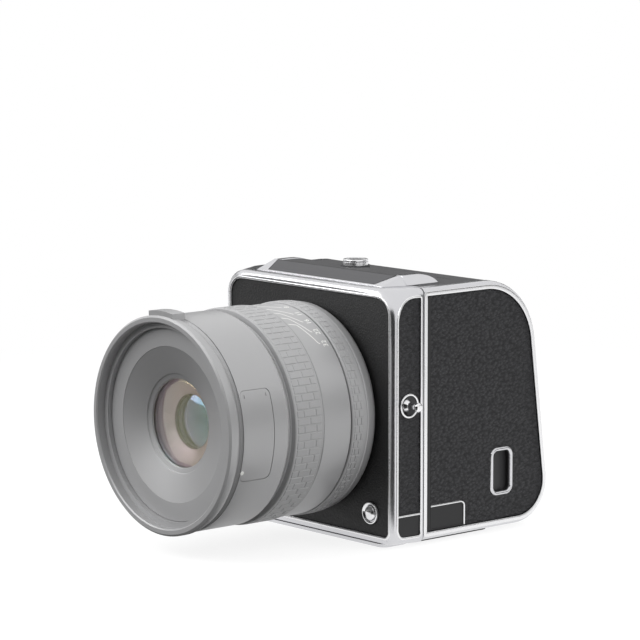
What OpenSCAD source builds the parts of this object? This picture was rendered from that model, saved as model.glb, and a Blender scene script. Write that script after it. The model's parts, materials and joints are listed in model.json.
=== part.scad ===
// Medium format digital camera: slim front body with bayonet, square digital back, standard lens.
// Millimetres. Z is up, the lens looks along -Y, and the origin is the mouth of the tripod thread.

/* [Body] */
// Width of the body without the strap lugs
body_w = 91; // [88:0.5:98]
// Height of the frames' flat top above the resting plane
top_z = 90.7; // [90:0.5:98]
// Depth of the front body from its bright lip to the seam
front_d = 13.7; // [13.5:0.1:16]
// Gap between the front body and the digital back
seam_gap = 0.3; // [0.1:0.05:0.6]
// Rounding along the long edges of both frames
edge_r = 2; // [1.4:0.1:2.4]
// Corner radius of the front face at the top
face_r_top = 9; // [6:0.5:12]
// Corner radius of the front face at the bottom
face_r_low = 5; // [4:0.5:8]
// Corner radius of the front body at the seam
seam_r = 2.5; // [2.4:0.1:5]
// Width of the bright lip round the front panel
front_lip = 1; // [0.6:0.1:1.6]
// Thickness of the plate under the front body
front_foot_t = 1.2; // [1:0.1:2]

/* [Front panel and controls] */
// Thickness of the front panel
panel_t = 1.4; // [1:0.1:2]
// Depth of the panel face behind the lip
panel_sink = 0.4; // [0.1:0.1:0.8]
// Distance of the control centres from the body's side
control_in = 12.1; // [11:0.1:14]
// Height of the control centres above the resting plane
control_z = 11.8; // [11:0.1:14]
// Radius of the lens release button
release_r = 2.55; // [2:0.05:3]
// Width of the ring round the release button
release_ring = 1.4; // [1:0.1:2]
// Radius of the control dial
dial_r = 6.4; // [5.6:0.1:7]
// Number of flutes on the control dial
dial_flutes = 36; // [24:1:48]
// Radius of the shutter button inside the dial
shutter_r = 3.6; // [3:0.1:4]
// Travel of the front buttons
button_travel = 1.5; // [0.8:0.1:2]

/* [Sides of the front body] */
// Thickness of the leather-like skins
skin_t = 0.8; // [0.5:0.05:1]
// Depth of the skins behind their bright rims
skin_sink = 0.3; // [0.1:0.05:0.5]
// Bright rim in front of the side skin
side_rim = 2.1; // [1.5:0.1:3]
// Bright rim between the side skin and the seam
side_rim_back = 1.4; // [1:0.1:2]
// Radius of the side skin's upper front corner
side_r_top = 8; // [4:0.5:8.5]
// Radius of the side skin's lower front corner
side_r_low = 3; // [1.5:0.5:5]
// Height of the small plate at the foot of the side
label_h = 7.2; // [5:0.1:10]
// Width of the bright line above that plate
label_line = 0.6; // [0.4:0.1:1]
// Height of the strap lugs above the resting plane
lug_z = 50.3; // [30:0.5:70]
// Radius of a strap lug's dished base
lug_r = 4.3; // [3.5:0.1:4.5]
// Radius of a strap lug's neck
lug_neck_r = 1.1; // [0.8:0.1:1.4]
// Radius of a strap lug's head
lug_head_r = 1.75; // [1.5:0.05:2.5]
// Reach of a strap lug beyond the body
lug_reach = 5.5; // [4:0.1:7]

/* [Top] */
// Width of the sloped plate's block at its foot, along the seam
wedge_w = 73.6; // [60:0.2:78]
// Width of that block at its foot, along its front edge
wedge_w_front = 67.4; // [56:0.2:72]
// Width of that block along its upper edge
wedge_w_top = 67.8; // [55:0.2:70]
// Height of the block and of the hump behind it
wedge_h = 3.3; // [3:0.1:5]
// Distance of the block's front edge behind the lip
wedge_y = 5; // [3.5:0.1:6]
// Width of the sloped black plate along its lower edge
plate_w = 57.4; // [40:0.2:61]
// Width of the sloped black plate along its upper edge
plate_w_top = 64.4; // [40:0.2:66]
// Thickness of the sloped black plate
plate_t = 0.8; // [0.5:0.1:1.2]
// Length of the hump on the back, from the seam
hump_d = 15; // [14:0.1:18]
// Length of the hump's flat stretch
hump_flat = 6.8; // [4:0.1:8]
// Width of each bright fin beside the hump
fin_w = 3.2; // [2:0.1:4]
// Distance of the release knob behind the seam
knob_y = 8.8; // [7.5:0.1:9]
// Radius of the release knob
knob_r = 4.5; // [3:0.1:4.6]
// Wall of the collar round the knob
knob_wall = 0.7; // [0.5:0.05:1]
// Height of the collar above the hump
knob_collar_h = 0.2; // [0.1:0.1:2]
// Height of the knob above its collar
knob_h = 2.1; // [1.4:0.1:2.5]
// Travel of the release knob
knob_travel = 1.2; // [0.5:0.1:1.3]

/* [Digital back] */
// Depth of the back from the seam to its rearmost point
back_d = 61.4; // [60:0.2:68]
// Lean of the rear face from upright, in degrees
rear_lean = 7.25; // [5:0.25:9]
// Radius of the upper rear corner
back_r_top = 25; // [20:0.5:27]
// Radius of the lower rear corner
back_r_low = 15; // [12:0.5:17]
// Thickness of the plate under the back
back_foot_t = 1.8; // [1.4:0.1:2.4]
// Bright lip round the side panels of the back
back_lip = 0.8; // [0.5:0.1:1.5]
// Bright strip between the seam and the side panels
back_rim = 1.6; // [1.4:0.1:2.5]
// Bright rim at each side of the top and rear skin
wrap_rim = 4; // [3:0.1:6]

/* [Side door] */
// Thickness of the door with its skin
door_t = 3; // [2.8:0.1:3.6]
// Gap round the door and the other lids
lid_gap = 0.3; // [0.2:0.05:0.4]
// Radius of the hinge pins
pin_r = 0.6; // [0.5:0.05:0.8]
// Depth of the hinge pins' seats
pin_seat = 1.8; // [1.2:0.1:2]
// Length of the small plate on the door, from the hinge
door_label_l = 16.5; // [10:0.5:20]
// Height of the small plate on the door
door_label_h = 8.6; // [6:0.1:10]
// Width of the bright latch bezel
bezel_w = 10.8; // [9:0.1:14]
// Height of the bright latch bezel
bezel_h = 17.2; // [14:0.1:22]
// Width of the bezel's rim
bezel_rim = 1.3; // [1:0.1:1.8]
// Distance of the bezel's centre behind the seam
bezel_y = 38; // [34:0.5:42]
// Height of the bezel's centre above the resting plane
bezel_z = 21.9; // [20:0.1:40]
// Thickness of the latch slider's plate
latch_t = 1; // [0.8:0.1:1.2]
// Travel of the door latch
latch_travel = 2.5; // [1.5:0.1:3]

/* [Inside the back] */
// Battery length, across the body
battery_l = 68; // [60:1:70]
// Battery thickness, front to rear
battery_d = 21; // [18:0.5:24]
// Roof over the memory cards
card_roof = 6.2; // [5:0.1:9]
// Length of a memory card
card_l = 32; // [30:0.5:34]
// Width of a memory card
card_w = 24; // [22:0.5:25]
// Thickness of a memory card
card_t = 2.1; // [1.6:0.1:2.6]
// Spacing of the two memory cards
card_pitch = 6; // [5:0.5:9]
// Width of the sensor's picture area
sensor_w = 43.8; // [36:0.2:44]
// Height of the sensor's picture area
sensor_h = 32.9; // [24:0.1:33]
// Width of the sensor's carrier
carrier_w = 64; // [58:1:68]
// Height of the sensor's carrier
carrier_h = 58; // [50:1:62]
// Thickness of the circuit board
board_t = 1.6; // [1:0.1:2]

/* [Rear] */
// Width of the tilting screen
screen_w = 74; // [66:0.5:78]
// Height of the tilting screen
screen_h = 48; // [42:0.5:50]
// Thickness of the tilting screen
screen_t = 5; // [4:0.1:6]
// Height of the screen's foot above the start of the flat rear face
screen_v = 7; // [6.5:0.1:9]
// Frame left round the screen glass
screen_bezel = 2.4; // [1.5:0.1:4]
// Thickness of the screen glass
glass_t = 0.7; // [0.5:0.1:1]
// Number of buttons under the screen
rear_buttons = 5; // [5:1:5]
// Spacing of those buttons
rear_pitch = 13; // [11:0.5:15]
// Length of one rear button
rear_button_w = 8.4; // [6:0.1:9]
// Height of one rear button
rear_button_h = 3.4; // [2.4:0.1:4]
// Travel of a rear button
rear_travel = 0.6; // [0.3:0.1:0.6]

/* [Ports and tripod] */
// Length of the port cover
port_l = 18; // [15:0.5:22]
// Height of the port cover
port_h = 11; // [9:0.5:14]
// Thickness of the port cover
port_t = 2.8; // [2.8:0.1:3.4]
// Distance of the port cover behind the seam
port_y = 20; // [12:0.5:30]
// Height of the port cover's lower edge
port_z = 14; // [8:0.5:30]
// Width of the foot plates
foot_w = 78; // [70:1:80]
// Length of the foot plate under the back
foot_d = 38; // [34:0.5:40]
// Distance of the tripod thread behind the lip
tripod_y = 33; // [31:0.5:35]
// Bore of the tripod bush, to the crests of its thread
tripod_bore = 8; // [6:0.1:8.5]
// Outer radius of the tripod bush
bush_r = 7; // [6:0.1:8]
// Height of the tripod bush
bush_h = 9.5; // [8:0.1:10]
// Radius of the screw heads
screw_head_r = 1.7; // [1.4:0.1:2.2]
// Length of the screws
screw_l = 5; // [4:0.5:7]

/* [Lens] */
// Height of the lens axis above the resting plane
lens_z = 45.8; // [44:0.1:48]
// Length of the lens in front of the mount ring
lens_l = 66; // [65:0.1:70]
// Radius of the smooth barrels
barrel_r = 37.5; // [34:0.1:42]
// Height of the front rim above the smooth barrels
rim_step = 0.5; // [0.1:0.05:1.5]
// Height of the fluted rings' crests above the smooth barrels
ring_step = 0.5; // [0.1:0.05:1]
// Wall of the smooth barrels, out from the inner sleeve
barrel_wall = 2.9; // [2.6:0.05:3.6]
// Wall of the inner sleeve
sleeve_wall = 3.6; // [2:0.1:4]
// Length of the smooth rear barrel
rear_l = 4.2; // [3:0.1:6]
// Length of the control ring
control_l = 6.9; // [5:0.1:8]
// Length of the scale ring
scale_l = 12.4; // [10:0.1:14]
// Length of the focus ring
focus_l = 12.8; // [10:0.1:14]
// Travel of the focus ring into the groove in front of it
focus_shift = 2.6; // [1:0.1:4]
// Number of flutes round the focus ring and control ring
flutes = 88; // [60:1:96]
// Depth of the flutes
flute_depth = 0.5; // [0.2:0.05:0.7]
// Gap between neighbouring rings
ring_gap = 0.3; // [0.3:0.05:0.5]
// Wall of the rim round the filter thread's bore
filter_wall = 2.5; // [1.6:0.05:3.2]
// Depth of the filter thread
filter_d = 3.3; // [2:0.1:4]
// Width of the step behind the filter thread
well_step = 2; // [1.6:0.1:3]
// Depth of the front ring's face behind the rim
front_well_d = 5; // [4.5:0.1:6]
// Outer radius of the front cone
cone_r = 27; // [24:0.1:29]
// Depth of the front cone
cone_d = 3.6; // [2:0.1:5]
// Radius of the front glass opening
glass_r = 15.4; // [12:0.1:17]
// Length of the inlaid plate on the barrel, along the axis
inlay_l = 13; // [8:0.1:14]
// Height of the inlaid plate
inlay_h = 31; // [20:0.5:34]
// Distance of the inlaid plate's centre behind the rim
inlay_back = 13.3; // [12:0.1:15]
// Width of the tab on top of the rim
tab_w = 13; // [8:0.5:16]
// Height of that tab above the rim
tab_h = 1.7; // [1:0.1:2.5]
// Travel of the focusing group
group_travel = 5; // [2:0.5:6]

/* [Bayonet] */
// Outer radius of the mount ring
mount_r = 33; // [31:0.1:34]
// Thickness of the mount ring
mount_t = 3.6; // [3:0.1:4.5]
// Height of the mount ring in front of the lip
mount_proud = 0.5; // [0.2:0.1:1]
// Radius of the lens's bayonet tube
throat_r = 24.6; // [23:0.1:25.5]
// Wall of the bayonet tube
throat_wall = 3.1; // [2:0.1:4]
// Reach of the bayonet claws
claw_reach = 2.6; // [2:0.1:3]
// Thickness of the bayonet claws
claw_t = 1.6; // [1:0.1:2]
// Angle of one claw
claw_angle = 50; // [40:1:54]

/* [Fits] */
// Gap round a piece that is glued or screwed into its seat
seat_gap = 0.1; // [0.05:0.01:0.15]
// Radial clearance of a turning or sliding fit
run_fit = 0.05; // [0.03:0.01:0.1]
// Gap between faces that move past each other
slip_gap = 0.3; // [0.25:0.05:0.4]
// Clearance of a pressed hinge pin in its seat
pin_fit = 0.02; // [0.01:0.01:0.04]

/* [Hidden] */

round_fn = 96;
hull_fn = 48;
edge_steps = 5;
over = 1;

half_w = body_w / 2;
seam_y = front_d + seam_gap;
rear_y_max = seam_y + back_d;
panel_half = half_w - edge_r - front_lip;
panel_low = front_foot_t + edge_r + front_lip;
panel_top = top_z - edge_r - front_lip;
control_x = half_w - control_in;
panel_back = panel_sink + panel_t;
control_seat = 2;
bezel_depth = panel_back + control_seat;
bezel_ring_r = release_r + release_ring;
bezel_proud = 0.6;
release_bore = release_r + 2 * run_fit;
release_proud = 0.5;
dial_floor = panel_back + slip_gap;
dial_proud = 2.4;
dial_flute_depth = 0.4;
shutter_proud = dial_proud + 0.2;
button_l = bezel_depth + control_seat;
skin_depth = skin_t + skin_sink;

// Side profile of the back: centres of its two rear corners, tangent to one leaning line
low_c = [rear_y_max - back_r_low, back_foot_t + back_r_low];
lean_reach = low_c[0] * cos(rear_lean) + low_c[1] * sin(rear_lean) + back_r_low;
top_c_z = top_z - back_r_top;
top_c = [(lean_reach - back_r_top - top_c_z * sin(rear_lean)) / cos(rear_lean), top_c_z];
rear_origin = [low_c[0] + back_r_low * cos(rear_lean), low_c[1] + back_r_low * sin(rear_lean)];
side_in = edge_r + back_lip;

// Side door: outer face, hinge axis and latch window
door_x = half_w - skin_sink;
door_floor = door_x - door_t - lid_gap;
door_y = seam_y + back_rim + lid_gap;
door_pin = [door_x - door_t / 2, door_y + door_t / 2];
door_low = back_foot_t + side_in + lid_gap;
door_high = top_z - side_in - lid_gap;
window_w = bezel_w - 2 * bezel_rim;
window_h = bezel_h - 2 * bezel_rim;
bezel_c = [seam_y + bezel_y, bezel_z];
bezel_r = 3.2;
window_r = bezel_r - bezel_rim;
latch_pocket = latch_t + 2 * seat_gap;
latch_wall = 0.6;
latch_margin = 0.6;
latch_proud = 0.1;
latch_sink = 0.9;
latch_pad = door_t - latch_sink;
bezel_base = door_x - door_t + latch_pocket + latch_wall;
door_label_r = 2.2;
door_label_rim = 0.5;

// Bays inside the back
carrier_t = 4;
carrier_y = seam_y + 1;
sensor_rim = 2.2;
sensor_t = 1.5;
board_y = carrier_y + carrier_t + seat_gap;
can_h = 2;
can_w = 15.4;
can_l = 34.8;
can_pitch = 19.2;
card_clip = 3;
bay_floor = 1.2;
card_wall = 3;
sensor_bay_y = board_y + board_t + can_h + seat_gap;
bay_wall = 3.6;
battery_y = sensor_bay_y + bay_wall;
battery_z = back_foot_t + bush_h + bay_floor;
battery_x = door_floor - seat_gap - battery_l;
card_z = top_z - card_roof - card_w;
battery_h = card_z - card_wall - battery_z;
card_y = battery_y + card_wall;
card_x = door_floor - seat_gap - card_l;

// Tilting screen, in the frame of the leaning rear face
flat_l = sqrt(pow(norm(top_c - low_c), 2) - pow(back_r_top - back_r_low, 2));
screen_pin_v = screen_v + screen_h - screen_t / 2;
pin_past_flat = max(0, screen_pin_v - flat_l);
rear_sag = back_r_top - sqrt(pow(back_r_top, 2) - pow(pin_past_flat, 2));
screen_stand = 0.575;
screen_proud = screen_stand - rear_sag;
screen_lip_w = 14;
skin_strip = 1.5;
wrap_half = max(half_w - wrap_rim, screen_w / 2 + lid_gap + skin_strip);
screen_pin_w = screen_proud - screen_t / 2;
rear_button_gap = 1.6;
rear_button_v = screen_v - lid_gap - rear_button_h / 2 - rear_button_gap;
rear_button_proud = 0.7;
rear_button_l = 3.5;

// Distances along the lens, forward of the lip
lens_a0 = mount_proud + slip_gap;
rim_a = lens_a0 + lens_l;
flange_t = 1.2;
control_a = lens_a0 + rear_l + ring_gap;
scale_a = control_a + control_l + ring_gap;
focus_a = scale_a + scale_l + ring_gap;
groove_rest = 0.6;
focus_groove = focus_shift + groove_rest;
front_a = focus_a + focus_l + focus_groove;
well_a = rim_a - front_well_d;
cone_a = well_a - cone_d;
sleeve_a1 = cone_a;
rim_r = barrel_r + rim_step;
ring_r = barrel_r + ring_step;
sleeve_r = barrel_r - barrel_wall;
filter_r = rim_r - filter_wall;
front_well_r = filter_r - well_step;
sleeve_in = sleeve_r - sleeve_wall;
slider_t = 1.1;
cell_l = 8;
element_edge = 2.1;
element_seat = 1;
front_bulge = 2.4;
rear_bulge = 1.5;
dome_steps = 8;
shutter_l = 8;
shutter_room = 6.2;
shutter_a0 = cone_a - cell_l - shutter_room - shutter_l;
blade_t = 0.6;
iris_r = 7;
group_l = 6;
group_room = 9.5;
group_a = lens_a0 + flange_t + group_room + group_travel / 2;
group_glass_rim = 0.9;
group_glass_r = glass_r - group_glass_rim;
group_glass_edge = 1.5;
group_wall = 2;
rod_r = 1.2;
rod_in = 6;
rod_c = sleeve_in - rod_in;
inlay_t = 0.6;
inlay_r = 2;
rim_round = 0.7;
line_depth = 0.4;
line_pitch = 0.9;
line_back = 6.4;
rim_l = 3;
tab_back = 6.2;
tab_front = 0.8;
foot_taper = 0.9;
foot_taper_l = 1.2;
foot_step = 0.2;
flute_rim = 0.8;
flute_root = 0.15;
ledge_angle = claw_angle + 8;
bush_floor = 1;
claw_r = throat_r + claw_reach;
mount_back = mount_t - mount_proud;
claw_a = -mount_back - slip_gap;
frame_bore = claw_r + 1.3;
lug_seat = 0.5;
lug_proud = 0.2;
lug_head_t = 1.5;
lug_y = (side_rim + front_d - side_rim_back) / 2;
wedge_run = front_d - wedge_y;
wedge_slope = atan(wedge_h / wedge_run);
wedge_len = norm([wedge_run, wedge_h]);
wedge_edge = 0.2;
plate_start = 1;
collar_r = knob_r + knob_wall;
knob_seat = 3;
knob_round = 0.4;
knob_cap = 0.9;
knob_line = 0.15;
hump_drop = 0.2;
hump_steps = 8;
speaker_holes = 5;
speaker_pitch = 1.5;
speaker_r = 0.4;
speaker_in = 10;
foot_corner = 3;
screw_side = 7.8;
screw_in = foot_w / 2 - screw_side;
screw_edge = 4.5;
screw_sink = 0.1;
screw_fn = 32;
port_pin = [-door_x + port_t / 2, seam_y + port_y + port_t / 2];
port_pin_r = 0.4;
port_pin_seat = 1.5;
usb_w = 9;
usb_h = 3.2;
usb_wall = 0.5;
usb_c = [port_pin[1] + port_l / 2, port_z + port_h / 2];
usb_x = -door_x + port_t + lid_gap;
usb_share = 0.45;
usb_l = usb_share * (battery_x - usb_x);

// Everything is drawn from the front lip and then moved so that the tripod thread is the origin
module from_lip() {
    translate([0, -tripod_y, 0]) children();
}

// Outlines drawn in (y, z) and pushed along +X
module on_side(x0, t) {
    translate([x0, 0, 0]) rotate([90, 0, 90]) linear_extrude(t) children();
}

// Outlines drawn in (x, z) and pushed along +Y
module on_front(y0, t) {
    translate([0, y0 + t, 0]) rotate([90, 0, 0]) linear_extrude(t) children();
}

// Frame of the leaning rear face: x runs to -X, y up the face, z outward
module on_rear() {
    translate([0, rear_origin[0], rear_origin[1]]) rotate([90 - rear_lean, 0, 180]) children();
}

// Lens axis: local z runs forward from the lip
module on_lens() {
    translate([0, 0, lens_z]) rotate([90, 0, 0]) children();
}

module lens_turn() {
    on_lens() rotate_extrude($fn = round_fn) children();
}

module tube(r0, r1, a0, a1) {
    on_lens() translate([0, 0, a0]) difference() {
        cylinder(r = r1, h = a1 - a0, $fn = round_fn);
        translate([0, 0, -over]) cylinder(r = r0, h = a1 - a0 + 2 * over, $fn = round_fn);
    }
}

// Rectangle with its own radius at each corner, counter-clockwise from (x0, y0)
module round_rect(x0, y0, x1, y1, r) {
    intersection() {
        translate([x0, y0]) square([x1 - x0, y1 - y0]);
        union() {
            polygon([[x0 + r[0], y0], [x1 - r[1], y0], [x1, y0 + r[1]], [x1, y1 - r[2]],
                [x1 - r[2], y1], [x0 + r[3], y1], [x0, y1 - r[3]], [x0, y0 + r[0]]]);
            translate([x0 + r[0], y0 + r[0]]) circle(r[0], $fn = round_fn);
            translate([x1 - r[1], y0 + r[1]]) circle(r[1], $fn = round_fn);
            translate([x1 - r[2], y1 - r[2]]) circle(r[2], $fn = round_fn);
            translate([x0 + r[3], y1 - r[3]]) circle(r[3], $fn = round_fn);
        }
    }
}

// Slot with round ends, lying along x
module slot(w, h) {
    square([w - h, h], center = true);
    for (side = [-1, 1]) translate([side * (w - h) / 2, 0]) circle(h / 2, $fn = round_fn);
}

// Disc whose lower edge, or both edges, are rounded
module puck(r, h, both) {
    low = [for (i = [0:edge_steps]) let (t = 90 * i / edge_steps)
        [r - edge_r + edge_r * sin(t), edge_r - edge_r * cos(t)]];
    high = [for (i = [edge_steps:-1:0]) let (t = 90 * i / edge_steps)
        [r - edge_r + edge_r * sin(t), h - edge_r + edge_r * cos(t)]];
    rotate_extrude($fn = hull_fn)
        polygon(concat([[0, 0]], low, both ? high : [[r, h]], [[0, h]]));
}

// Ring of flutes: flat crests with V-shaped valleys
module fluted(r, depth, count, h) {
    step = 360 / count;
    linear_extrude(h) polygon([for (i = [0:count - 1], k = [0:2])
        let (a = step * (i + [0, 0.6, 0.8][k]), rr = k == 2 ? r - depth : r)
        [rr * cos(a), rr * sin(a)]]);
}

// Wedge of a circle about the lens axis, for claws and ledges
module sector(angle, r) {
    polygon([[0, 0], for (k = [-1, -0.5, 0, 0.5, 1]) [r * cos(k * angle / 2), r * sin(k * angle / 2)]]);
}

// Front body: large front corners that run out to small ones at the seam
module front_block() {
    hull() for (side = [-1, 1]) {
        translate([side * (half_w - face_r_top), 0, top_z - face_r_top])
            rotate([-90, 0, 0]) puck(face_r_top, 2 * edge_r, false);
        translate([side * (half_w - face_r_low), 0, front_foot_t + face_r_low])
            rotate([-90, 0, 0]) puck(face_r_low, 2 * edge_r, false);
        for (z = [front_foot_t + seam_r, top_z - seam_r])
            translate([side * (half_w - seam_r), front_d - side_rim_back, z])
                rotate([-90, 0, 0]) cylinder(r = seam_r, h = side_rim_back, $fn = hull_fn);
    }
}

module panel_outline(grow) {
    top_r = face_r_top - edge_r - front_lip + grow;
    low_r = face_r_low - edge_r - front_lip + grow;
    round_rect(-panel_half - grow, panel_low - grow, panel_half + grow, panel_top + grow,
        [low_r, low_r, top_r, top_r]);
}

// Whole side field of the front body, and its upper part above the small plate
module side_field(grow) {
    round_rect(side_rim - grow, panel_low - grow, front_d - side_rim_back + grow, panel_top + grow,
        [side_r_low, edge_r / 4, edge_r / 4, side_r_top]);
}

module side_upper(grow) {
    intersection() {
        side_field(grow);
        translate([0, panel_low + label_h + label_line - grow]) square([front_d, top_z]);
    }
}

module side_lower(grow) {
    intersection() {
        side_field(grow);
        square([front_d, panel_low + label_h + grow]);
    }
}

// Bore for a front control, from in front of the lip to the given depth
module control_bore(side, depth, r) {
    translate([side * control_x, -over, control_z]) rotate([-90, 0, 0])
        cylinder(r = r, h = depth + over, $fn = round_fn);
}

module front_frame() {
    color("silver") from_lip() difference() {
        front_block();
        on_front(-over, panel_back + over) panel_outline(0);
        on_side(half_w - skin_depth, over + skin_depth) {
            side_upper(0);
            side_lower(0);
        }
        on_side(-half_w - over, over + skin_depth) side_field(0);
        on_lens() translate([0, 0, -mount_back])
            cylinder(r = mount_r + seat_gap, h = mount_t + over, $fn = round_fn);
        on_lens() translate([0, 0, -front_d - over])
            cylinder(r = frame_bore, h = front_d + over, $fn = round_fn);
        control_bore(1, bezel_depth + seat_gap, bezel_ring_r + seat_gap);
        control_bore(1, button_l + button_travel + slip_gap, release_bore);
        control_bore(-1, dial_floor, dial_r + slip_gap);
        control_bore(-1, button_l + button_travel + slip_gap, shutter_r + 2 * run_fit);
        for (side = [-1, 1]) translate([side * half_w, lug_y, lug_z]) rotate([0, side * 90, 0])
            translate([0, 0, -skin_depth - lug_seat - seat_gap])
                cylinder(r = lug_r + seat_gap, h = 3 * skin_depth, $fn = round_fn);
        screw_row(front_screws())
            cylinder(r = screw_head_r / 2 + seat_gap, h = screw_l + over, $fn = screw_fn);
        plate_pocket();
    }
}

module front_panel() {
    color("dimgray") from_lip() difference() {
        on_front(panel_sink, panel_t - seat_gap) panel_outline(-seat_gap);
        on_lens() translate([0, 0, -2 * panel_t - panel_sink])
            cylinder(r = mount_r + 2 * seat_gap, h = 4 * panel_t, $fn = round_fn);
        control_bore(1, panel_back + over, bezel_ring_r + seat_gap);
        control_bore(-1, panel_back + over, dial_r + slip_gap);
    }
}

// Camera half of the bayonet: three ledges, three gaps
module mount_ring() {
    color("lightgray") from_lip() on_lens() translate([0, 0, -mount_back]) {
        difference() {
            cylinder(r = mount_r, h = mount_t, $fn = round_fn);
            translate([0, 0, -over])
                cylinder(r = claw_r + slip_gap, h = mount_t + 2 * over, $fn = round_fn);
        }
        intersection() {
            difference() {
                cylinder(r = claw_r + 2 * slip_gap, h = mount_t, $fn = round_fn);
                translate([0, 0, -over])
                    cylinder(r = throat_r + run_fit, h = mount_t + 2 * over, $fn = round_fn);
            }
            for (i = [0:2]) rotate([0, 0, 120 * i + 90])
                linear_extrude(mount_t) sector(ledge_angle, 2 * mount_r);
        }
    }
}

module side_skins() {
    color("#2c2c2e") from_lip() difference() {
        union() {
            on_side(half_w - skin_depth + seat_gap, skin_t - seat_gap) side_upper(-seat_gap);
            on_side(-half_w + skin_sink, skin_t - seat_gap) side_field(-seat_gap);
        }
        translate([-body_w, lug_y, lug_z]) rotate([0, 90, 0])
            cylinder(r = lug_r + seat_gap, h = 2 * body_w, $fn = round_fn);
    }
}

module front_label() {
    color("#1d1d1f") from_lip()
        on_side(half_w - skin_depth + seat_gap, skin_t - seat_gap) side_lower(-seat_gap);
}

// Strap lugs: dished base, neck and rounded head
module strap_lugs() {
    color("gainsboro") from_lip() for (side = [-1, 1])
        translate([side * half_w, lug_y, lug_z]) rotate([0, side * 90, 0])
            translate([0, 0, -skin_depth - lug_seat]) {
                base_h = skin_depth + lug_seat + lug_proud;
                neck_l = skin_depth + lug_seat + lug_reach - lug_head_t;
                difference() {
                    cylinder(r = lug_r, h = base_h, $fn = round_fn);
                    translate([0, 0, lug_seat])
                        cylinder(r1 = lug_r / 2, r2 = lug_r - lug_seat, h = base_h, $fn = round_fn);
                }
                cylinder(r = lug_neck_r, h = neck_l, $fn = round_fn);
                translate([0, 0, neck_l]) {
                    cylinder(r = lug_head_r, h = lug_head_t / 2, $fn = round_fn);
                    translate([0, 0, lug_head_t / 2])
                        cylinder(r1 = lug_head_r, r2 = lug_neck_r, h = lug_head_t / 2, $fn = round_fn);
                }
            }
}

module release_bezel() {
    color("gainsboro") from_lip() translate([control_x, 0, control_z]) rotate([-90, 0, 0]) difference() {
        union() {
            translate([0, 0, -bezel_proud])
                cylinder(r1 = bezel_ring_r - bezel_proud / 2, r2 = bezel_ring_r, h = bezel_proud,
                    $fn = round_fn);
            cylinder(r = bezel_ring_r, h = bezel_depth, $fn = round_fn);
        }
        translate([0, 0, -over]) cylinder(r = release_bore, h = bezel_depth + 2 * over, $fn = round_fn);
    }
}

// Round button with a domed face, pressed along +Y
module push_button(r, front, length) {
    dome = r / 4;
    rotate([-90, 0, 0]) rotate_extrude($fn = round_fn)
        polygon(concat([[0, length]],
            [for (i = [0:edge_steps]) let (t = i / edge_steps) [r * t, -front - dome * (1 - t * t)]],
            [[r, length]]));
}

module release_button() {
    color("silver") from_lip() translate([control_x, 0, control_z])
        push_button(release_r, release_proud, button_l);
}

module control_dial() {
    dial_h = dial_floor - slip_gap + dial_proud;
    color("darkgray") from_lip() translate([-control_x, -dial_proud, control_z]) rotate([-90, 0, 0])
        difference() {
            fluted(dial_r, dial_flute_depth, dial_flutes, dial_h);
            translate([0, 0, -over])
                cylinder(r = shutter_r + slip_gap, h = dial_h + 2 * over, $fn = round_fn);
        }
}

module shutter_button() {
    color("silver") from_lip() translate([-control_x, 0, control_z])
        push_button(shutter_r, shutter_proud, button_l);
}

// Sloped block on top of the front body; its plate lies in a pocket along the slope
module on_wedge() {
    translate([0, wedge_y, top_z]) rotate([wedge_slope, 0, 0]) children();
}

module top_wedge() {
    color("silver") from_lip() difference() {
        hull() {
            translate([-wedge_w_front / 2, wedge_y, top_z]) cube([wedge_w_front, wedge_edge, wedge_edge]);
            translate([-wedge_w / 2, front_d - wedge_edge, top_z]) cube([wedge_w, wedge_edge, wedge_edge]);
            translate([-wedge_w_top / 2, front_d - wedge_edge, top_z + wedge_h - wedge_edge])
                cube([wedge_w_top, wedge_edge, wedge_edge]);
        }
        plate_pocket();
    }
}

// Half width of the sloped plate at a distance up the slope
function plate_half(v) =
    plate_w / 2 + (plate_w_top - plate_w) / 2 * (v - plate_start) / (wedge_len - plate_start);

// Sloped plate's outline, wider towards the ridge
module plate_outline(grow, end) {
    start = plate_start - grow;
    low = plate_half(start) + grow;
    high = plate_half(end) + grow;
    polygon([[-low, start], [low, start], [high, end], [-high, end]]);
}

module plate_pocket() {
    on_wedge() translate([0, 0, -plate_t]) linear_extrude(2 * plate_t)
        plate_outline(0, wedge_len + plate_start);
}

module name_plate() {
    color("#222224") from_lip() on_wedge() translate([0, 0, seat_gap - plate_t])
        linear_extrude(plate_t) plate_outline(-seat_gap, wedge_len - 3 * seat_gap);
}

function front_screws() = [for (side = [-1, 1]) [side * screw_in, front_d / 2]];
function back_screws() = [for (side = [-1, 1], y = [screw_edge, foot_d - screw_edge])
    [side * screw_in, seam_y + y]];

module screw_row(places) {
    for (p = places) translate([p[0], p[1], 0]) children();
}

// Plates under both halves; the screw heads sit in counterbores
module foot(y0, y1, t) {
    linear_extrude(t) round_rect(-foot_w / 2, y0, foot_w / 2, y1,
        [foot_corner, foot_corner, foot_corner, foot_corner]);
}

module head_bores(places, t) {
    screw_row(places) translate([0, 0, -over]) {
        cylinder(r = screw_head_r + seat_gap, h = t / 2 + over, $fn = screw_fn);
        cylinder(r = screw_head_r / 2 + seat_gap, h = t + 2 * over, $fn = screw_fn);
    }
}

module base_plate() {
    color("gray") from_lip() difference() {
        foot(edge_r / 2, front_d - seam_gap, front_foot_t);
        head_bores(front_screws(), front_foot_t);
    }
}

module foot_plate() {
    color("gray") from_lip() difference() {
        foot(seam_y + seam_gap, seam_y + foot_d, back_foot_t);
        head_bores(back_screws(), back_foot_t);
        translate([0, tripod_y, -over])
            cylinder(r = bush_r + seat_gap, h = back_foot_t + 2 * over, $fn = round_fn);
    }
}

module screw(t) {
    translate([0, 0, screw_sink]) {
        cylinder(r = screw_head_r, h = t / 2 - seat_gap - screw_sink, $fn = screw_fn);
        cylinder(r = screw_head_r / 2, h = screw_l, $fn = screw_fn);
    }
}

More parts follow.
